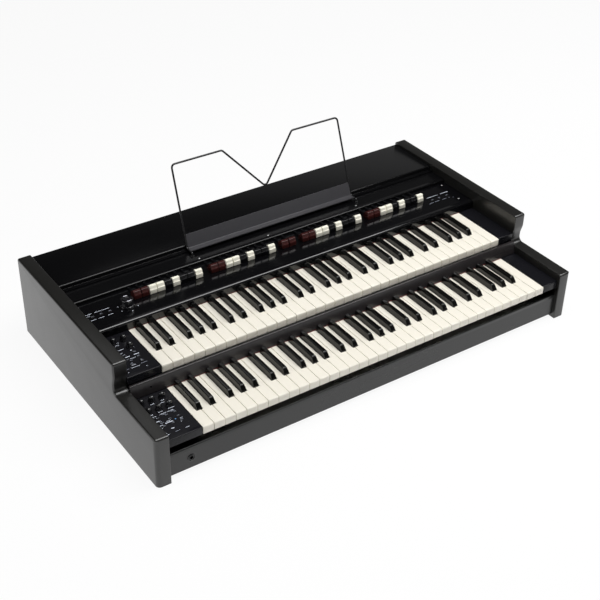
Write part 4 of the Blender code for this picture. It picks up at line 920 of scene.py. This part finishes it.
def cap_shape(x):
    """The side profile, a foot and a ridge under an arched crest, carried across with rounded side edges."""
    outline = rounded(CAP_CORNERS, CAP_BENDS, 4)
    rim = np.where(outline[:, 1] > CAP_RIM, CAP_RIM, CAP_FOOT_RIM)
    placed = outline + (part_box("drawbar_1")[0].y, PANEL_TOP + CAP_LIFT)
    return skin(lay(block_rings(placed, *around(x, CAP_WIDTH / 2), rim, rim), "yzx"))


def add_drawbar(label, number, x, colour, body, replaces=()):
    """One drawbar: its cap, and the flat stem that runs back under the shelf."""
    low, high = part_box("drawbar_1")
    piece(label.format("cap", number), [cap_shape(x)], colour, body, replaces, FOLD_ANGLE)
    stem = boxes(around(x, STEM_WIDTH / 2), (low.y + STEM_START, high.y), (low.z, low.z + STEM_HEIGHT))
    piece(label.format("stem", number), [stem], "black", body)


def add_drawbars():
    """All the drawbars: the first set on bodies of its own, the others on the bank with its cross bar."""
    for set_number, start in enumerate(DRAWBAR_SETS, 1):
        for number, colour in enumerate(CAP_COLOURS, 1):
            own = set_number == 1
            body = f"drawbar_{number}" if own else "drawbar_bank"
            add_drawbar(f"{{}}_{set_number}_{{}}", number, LEFT + start + (number - 1) * DRAWBAR_PITCH, colour,
                        body, [body] if own else ())
    for number, place in enumerate(PAIR_PLACES, 1):
        add_drawbar("pair_{}_{}", number, LEFT + place, "brown", "drawbar_bank")
    low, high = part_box("drawbar_bank")
    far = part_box("drawbar_1")[1].y
    bar = boxes((low.x, high.x), (far, high.y), (low.z, low.z + CROSS_BAR_HEIGHT))
    piece("drawbar_cross_bar", [bar], "black", "drawbar_bank", ["drawbar_bank"])


# Knobs and buttons

def add_small_knobs():
    """Each small knob: a thin skirt under a tapered grip with a domed crown, its profile in mm."""
    profile = np.array([(3.0, -10.0), (3.0, 0), (7.0, 0), (7.2, 0.3), (7.2, 1.3), (6.9, 1.7), (6.45, 2.6),
                        (6.1, 4.5), (5.7, 7.0), (5.3, 9.0), (4.9, 10.4), (4.3, 11.5), (3.4, 12.3), (2.2, 12.8),
                        (0.9, 12.98), (0.1, 13.0)])
    for name in KNOB_NAMES["lower"] + KNOB_NAMES["upper"]:
        low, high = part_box(name)
        x, y, _ = middle_of(name)
        foot = low.z + KNOB_REACH + SEAT_GAP
        grip = turned(profile * (0.001, (high.z - foot) / profile[-1, 1]), (x, y, foot), 36)
        piece(name + "_grip", [grip], "knob", name, [name])


def add_vibrato_knob():
    """The large knob: a grip with a bright ring and a dished top, fluted by a cosine around the axis."""
    low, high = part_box("vibrato_knob")
    reach = KNOB_REACH + SEAT_GAP
    x, y, _ = middle_of("vibrato_knob")
    centre = np.array([x, y, low.z + reach])
    radius = (high.x - low.x) / 2
    height = high.z - centre[2]
    profile = [(0.003, -reach), (0.003, 0.0), (radius - 0.0003, 0.0), (radius, 0.0006), (radius, 0.0022),
               (radius - 0.0008, 0.0032), (radius - 0.0016, 0.004), (radius - 0.002, height - 0.0026),
               (radius - 0.0026, height - 0.001), (radius - 0.004, height - 0.0002), (radius - 0.006, height),
               (radius - 0.0072, height - 0.0008), (radius * 0.3, height - 0.0016), (0.0002, height - 0.0016)]
    points, faces = turned(profile, sides=72)
    angle = np.arctan2(points[:, 1], points[:, 0])
    out = np.hypot(points[:, 0], points[:, 1])
    fluted = (points[:, 2] > 0.0035) & (points[:, 2] < height - 0.0005) & (out > radius * 0.7)
    scale = 1 - KNOB_FLUTE_DEPTH * (1 + np.cos(KNOB_FLUTES * angle)) / 2
    points[:, :2] *= np.where(fluted, scale, 1.0)[:, None]
    piece("vibrato_knob_grip", [(points + centre, faces)], "knob", "vibrato_knob",
          ["vibrato_knob"])
    ring = [(radius - 0.0062, height - 0.0006), (radius - 0.0044, height - 0.0006), (radius - 0.0041, height),
            (radius - 0.0046, height + 0.0004), (radius - 0.006, height + 0.0004), (radius - 0.0065, height)]
    piece("vibrato_knob_ring", [turned(ring, centre, 48, loop=True)], "chrome", "vibrato_knob")


def button_shape(x, y, foot, top):
    """A soft-cornered button with a rounded rim."""
    left, near, right, far = hole(x, y, *np.array(BUTTON_SIZE) / 2)
    outline = rounded([(left, near), (right, near), (right, far), (left, far)], BUTTON_CORNER, 3)
    return skin(lay(block_rings(outline, foot, top, 0.0001, 0.0005, 3), "xyz"))


def add_buttons():
    """Every group's buttons on the sheet of its mat, each with a small light window."""
    half_x, half_y = BUTTON_WINDOW
    for group in BUTTON_GROUPS:
        low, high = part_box(group)
        sheet = boxes((low.x, high.x), (low.y, high.y), (low.z, low.z + MAT_SHEET))
        piece(group + "_mat", [sheet], "rubber", group, [group])
        for number, (x, y) in enumerate(button_places(group), 1):
            button = button_shape(x, y, low.z + MAT_SHEET - 0.0005, high.z)
            window = boxes(around(x, half_x), around(y, half_y), (high.z - INK_ROOT, high.z + INK_HEIGHT))
            piece(f"{group}_{number}", [button], "rubber", group)
            piece(f"{group}_{number}_window", [window], "dim_ink", group)


# Music stand

def add_music_stand():
    """The wire in an M, its feet turned forward and down into the holders, and the folded ledge."""
    low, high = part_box("music_stand")
    middle = (low.x + high.x) / 2
    lean = STAND_LEAN / (STAND_TIP - STAND_BASE)
    pin_y = low.y + STAND_RADIUS
    foot_y = pin_y + STAND_FOOT
    tip_y = foot_y + STAND_LEAN
    dip = (middle, foot_y + lean * (STAND_DIP - STAND_BASE), STAND_DIP)
    half = [(STAND_FEET / 2, pin_y, low.z), (STAND_FEET / 2, pin_y, STAND_BASE),
            (STAND_FEET / 2, foot_y, STAND_BASE), (STAND_TOPS / 2, tip_y, STAND_TIP),
            (STAND_NECK / 2, tip_y, STAND_TIP)]
    left = [(middle - x, y, z) for x, y, z in half]
    right = [(middle + x, y, z) for x, y, z in reversed(half)]
    bends = [STAND_FOOT_BEND] + [STAND_BEND] * 7 + [STAND_FOOT_BEND]
    wire_shape = tube(open_rounded(left + [dip] + right, bends, 6), STAND_WIRE)
    piece("stand_wire_frame", [wire_shape], "wire", "music_stand", ["music_stand"])
    run = np.array([(foot_y - STAND_LEDGE, STAND_BASE + STAND_LIP), (foot_y - STAND_LEDGE, STAND_BASE),
                    (foot_y, STAND_BASE), (foot_y + lean * STAND_PLATE, STAND_BASE + STAND_PLATE)])
    shift = STAND_SHEET * np.array([(1, 0), (1, 1), (-1, 1), (-1, 0)])
    outer = open_rounded(run, LEDGE_BENDS[0], 4)
    inner = open_rounded(run + shift, LEDGE_BENDS[1], 4)
    plate = swept(np.vstack([outer, inner[::-1]]), *around(middle, STAND_FEET / 2), 0.0002)
    piece("stand_ledge", [plate], "plate", "music_stand")


# Printed marks, and one dim bar that is a painted glint: places picked in the photograph, put into mm through the
# camera. Printed marks: places picked by eye in the photograph, put into mm through the camera by a measuring
# script

def bars(places, z):
    """Thin printed bars on the surface at z: each is its start and end columns, its row and its width in mm."""
    start, end, row, width = np.asarray(places, float).T * 0.001
    return boxes((LEFT + start, LEFT + end), around(FRONT + row, width / 2), (z, z + INK_HEIGHT))


UPPER_MARKS = {
    "ink": ((20.6, 37, 264.8, 1.2), (26, 33.9, 257.8, 1.2), (42.8, 52.9, 265, 1.2), (24.5, 35.9, 241.8, 1.2),
            (46.7, 56.4, 237.8, 1.2), (44.1, 47.9, 230.3, 1.2), (23.1, 28.2, 230.6, 1.2), (44, 54.8, 215.5, 2.2),
            (25.9, 35.3, 215.2, 2.2), (31.8, 44.2, 207, 0.9), (48.1, 49.9, 195, 1.8), (24.8, 33.2, 187.4, 1.1),
            (20.1, 38.8, 180, 1.1), (47.8, 49.6, 171.8, 1.8), (9.3, 11.1, 171.3, 1.8)),
    # The dim bar (42, 55.8, 184, 1.1) is a painted glint: the reflection round an upper button, drawn in dim ink.
    "dim_ink": ((28.4, 34.6, 202, 1.1), (29, 30.8, 195, 1.8), (14.4, 16.2, 194.4, 1.8), (42, 55.8, 184, 1.1),
                (9.4, 16.3, 180.5, 1.1)),
}
LOWER_MARKS = {
    "ink": ((44.5, 51.8, 114.8, 1.2), (40, 48.5, 108.6, 1.2), (22.8, 30.3, 114.3, 1.2), (44.7, 57.6, 86.8, 1.2),
            (23.8, 33.1, 86.8, 1.2), (4, 13.3, 86.6, 1.2), (24.1, 36.5, 80, 1.1), (39, 51.8, 80.1, 1.1),
            (5, 16.1, 79.4, 1.1), (5.9, 15.4, 64.3, 2.2), (24.8, 33.2, 56.4, 1.2), (19.9, 35.6, 52.4, 2.2),
            (7.7, 14.7, 51.4, 1.2), (49.5, 55.5, 51.8, 1.2), (8.7, 10.5, 43.8, 1.8), (47.1, 48.9, 43, 1.8),
            (22.3, 28.4, 34.3, 2.2), (5, 12.9, 22.4, 1.2), (7.8, 9.6, 28, 1.8), (45.1, 52.9, 23, 1.2)),
    "dim_ink": ((26.9, 34.1, 77, 1.1), (44.6, 53.4, 77, 1.1), (12.5, 19.4, 56.3, 1.1), (24.3, 33.9, 23.2, 1.1)),
}
PANEL_MARKS = {
    "ink": ((11.5, 25.7, 356, 1.2), (32.2, 64.3, 356, 1.2), (11.8, 19.8, 350, 1.1), (13.9, 25.2, 334, 1.1),
            (31.4, 42.5, 334, 1.1), (50.8, 62.3, 334, 1.1), (78.5, 80.3, 349.2, 1.8), (78.5, 80.3, 330.9, 1.8),
            (97.4, 99.2, 321.6, 1.8), (114.8, 116.6, 331.6, 1.8), (876, 906, 358, 1.2),
            (915, 938, 358, 1.2)),
    "dim_ink": ((865, 877, 335, 1.1), (881, 893, 335, 1.1), (903, 914, 335, 1.1),
                (921.1, 922.9, 334, 1.8), (930.1, 931.9, 331, 1.8)),
}


def add_marks():
    """Plain printed bars and dots beside the knobs and buttons, one dim bar of painted glint beside an upper
    button, and one small blue light.
    """
    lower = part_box("lower_control_block")[1].z
    surfaces = (("upper_block", UPPER_MARKS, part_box("upper_control_block")[1].z, "satin_rail"),
                ("lower_block", LOWER_MARKS, lower, "satin_rail"), ("panel", PANEL_MARKS, PANEL_TOP, "gloss_panel"))
    for name, marks, height, slot in surfaces:
        for ink, places in marks.items():
            piece(f"{name}_{ink}_marks", [bars(places, height)], ink)
    centre = (LEFT + 0.042, FRONT + 0.054, lower)
    lens = [(0.0013, -0.0004), (0.0013, 0.0002), (0.001, 0.0006), (0.0005, 0.0009), (0.0001, 0.001)]
    piece("lower_block_light", [turned(lens, centre, 16)], "blue")


# Front and rear sockets

def add_headphone_socket():
    """The front socket's ringed collar, with a sunk hole for the plug."""
    low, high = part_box("headphone_socket")
    rim = (high.x - low.x) / 2
    section = [(0.0033, 0.0), (0.0037, 0.001), (0.0048, 0.001), (0.0051, 0.0004), (0.0058, 0.0004),
               (0.0062, 0.0013), (rim - 0.0008, 0.0013), (rim, 0.0007), (rim, 0.0), (0.005, -0.0002),
               (0.0045, -0.0004), (0.0045, -0.0175), (0.0033, -0.0175)]
    x, _, z = middle_of("headphone_socket")
    place = (x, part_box("front_rail")[0].y, z)
    collar = upright(turned(section, loop=True), place, -1)
    floor = upright(turned([(0.0036, -0.0175), (0.0036, -0.0165)], sides=24), place, -1)
    piece("headphone_collar", [collar, floor], "socket_black",
          replaces=["headphone_socket"])


def add_rear_details():
    """Collars round the rear sockets, pins in the round ones and three blades in the mains inlet."""
    face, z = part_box("socket_plate")[1].y, middle_of("socket_plate")[2]
    turns = np.radians((0, 45, 90, 135, 180))
    pin_x = np.add.outer(ROUND_SOCKETS, PIN_CIRCLE * np.cos(turns)).ravel()
    pin_z = np.tile(z + PIN_CIRCLE * np.sin(turns), len(ROUND_SOCKETS))
    blade_x, blade_z = (np.array(BLADE_PLACES) + (MAINS_INLET, z)).T
    label_x = np.array(REAR_JACKS + ROUND_SOCKETS)
    details = {
        "rear_jack_collars": [upright(turned(JACK_COLLAR, sides=32, loop=True), (x, face, z), 1)
                              for x in REAR_JACKS],
        "round_socket_rims": [upright(turned(ROUND_RIM, loop=True), (x, face, z), 1) for x in ROUND_SOCKETS],
        "round_socket_pins": [boxes(around(pin_x, 0.0006), (face - 0.0092, face - 0.003), around(pin_z, 0.0006))],
        "mains_blades": [boxes(around(blade_x, 0.001), (face - 0.016, face - 0.005), around(blade_z, 0.003))],
        "rear_marks": [boxes(around(label_x, 0.0055), (face - INK_ROOT, face + INK_HEIGHT),
                             (z + 0.014, z + 0.0152))],
    }
    for name, shapes in details.items():
        piece(name, shapes, "dim_ink" if name == "rear_marks" else "steel")


def dress_frame_nodes():
    """Finishes of the CAD nodes that stay in view."""
    finishes = {
        "base_board": "cabinet", "back_panel": "cabinet", "lower_key_bed": "zinc", "upper_key_bed": "zinc",
        "socket_plate": "socket", "main_board": "board", "power_switch": "socket_black",
    }
    for node, finish in finishes.items():
        for material_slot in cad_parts[node].material_slots:
            material_slot.material = FINISHES[finish]


bpy.context.scene.view_settings.view_transform = "Standard"
add_camera()
add_world()
add_floor()
add_soft_light("overhead", (0.9, -0.5, 2.5), (0.9, -0.5, 0.0), (3.4, 1.6), 96.0)
add_soft_light("rear", (0.5, 1.9, 2.7), (0.0, 0.0, 0.1), (1.2, 0.8), 2.0)
add_soft_light("left_side", (-2.4, 0.2, 0.9), (0.0, 0.0, 0.1), (1.6, 1.2), 12.0)
add_cheeks()
add_lid()
add_shelf()
add_panel()
add_front_rail()
add_blocks()
add_middle_rail()
add_felts()
add_screws()
add_keys()
add_drawbars()
add_small_knobs()
add_vibrato_knob()
add_buttons()
add_music_stand()
add_marks()
add_headphone_socket()
add_rear_details()
dress_frame_nodes()
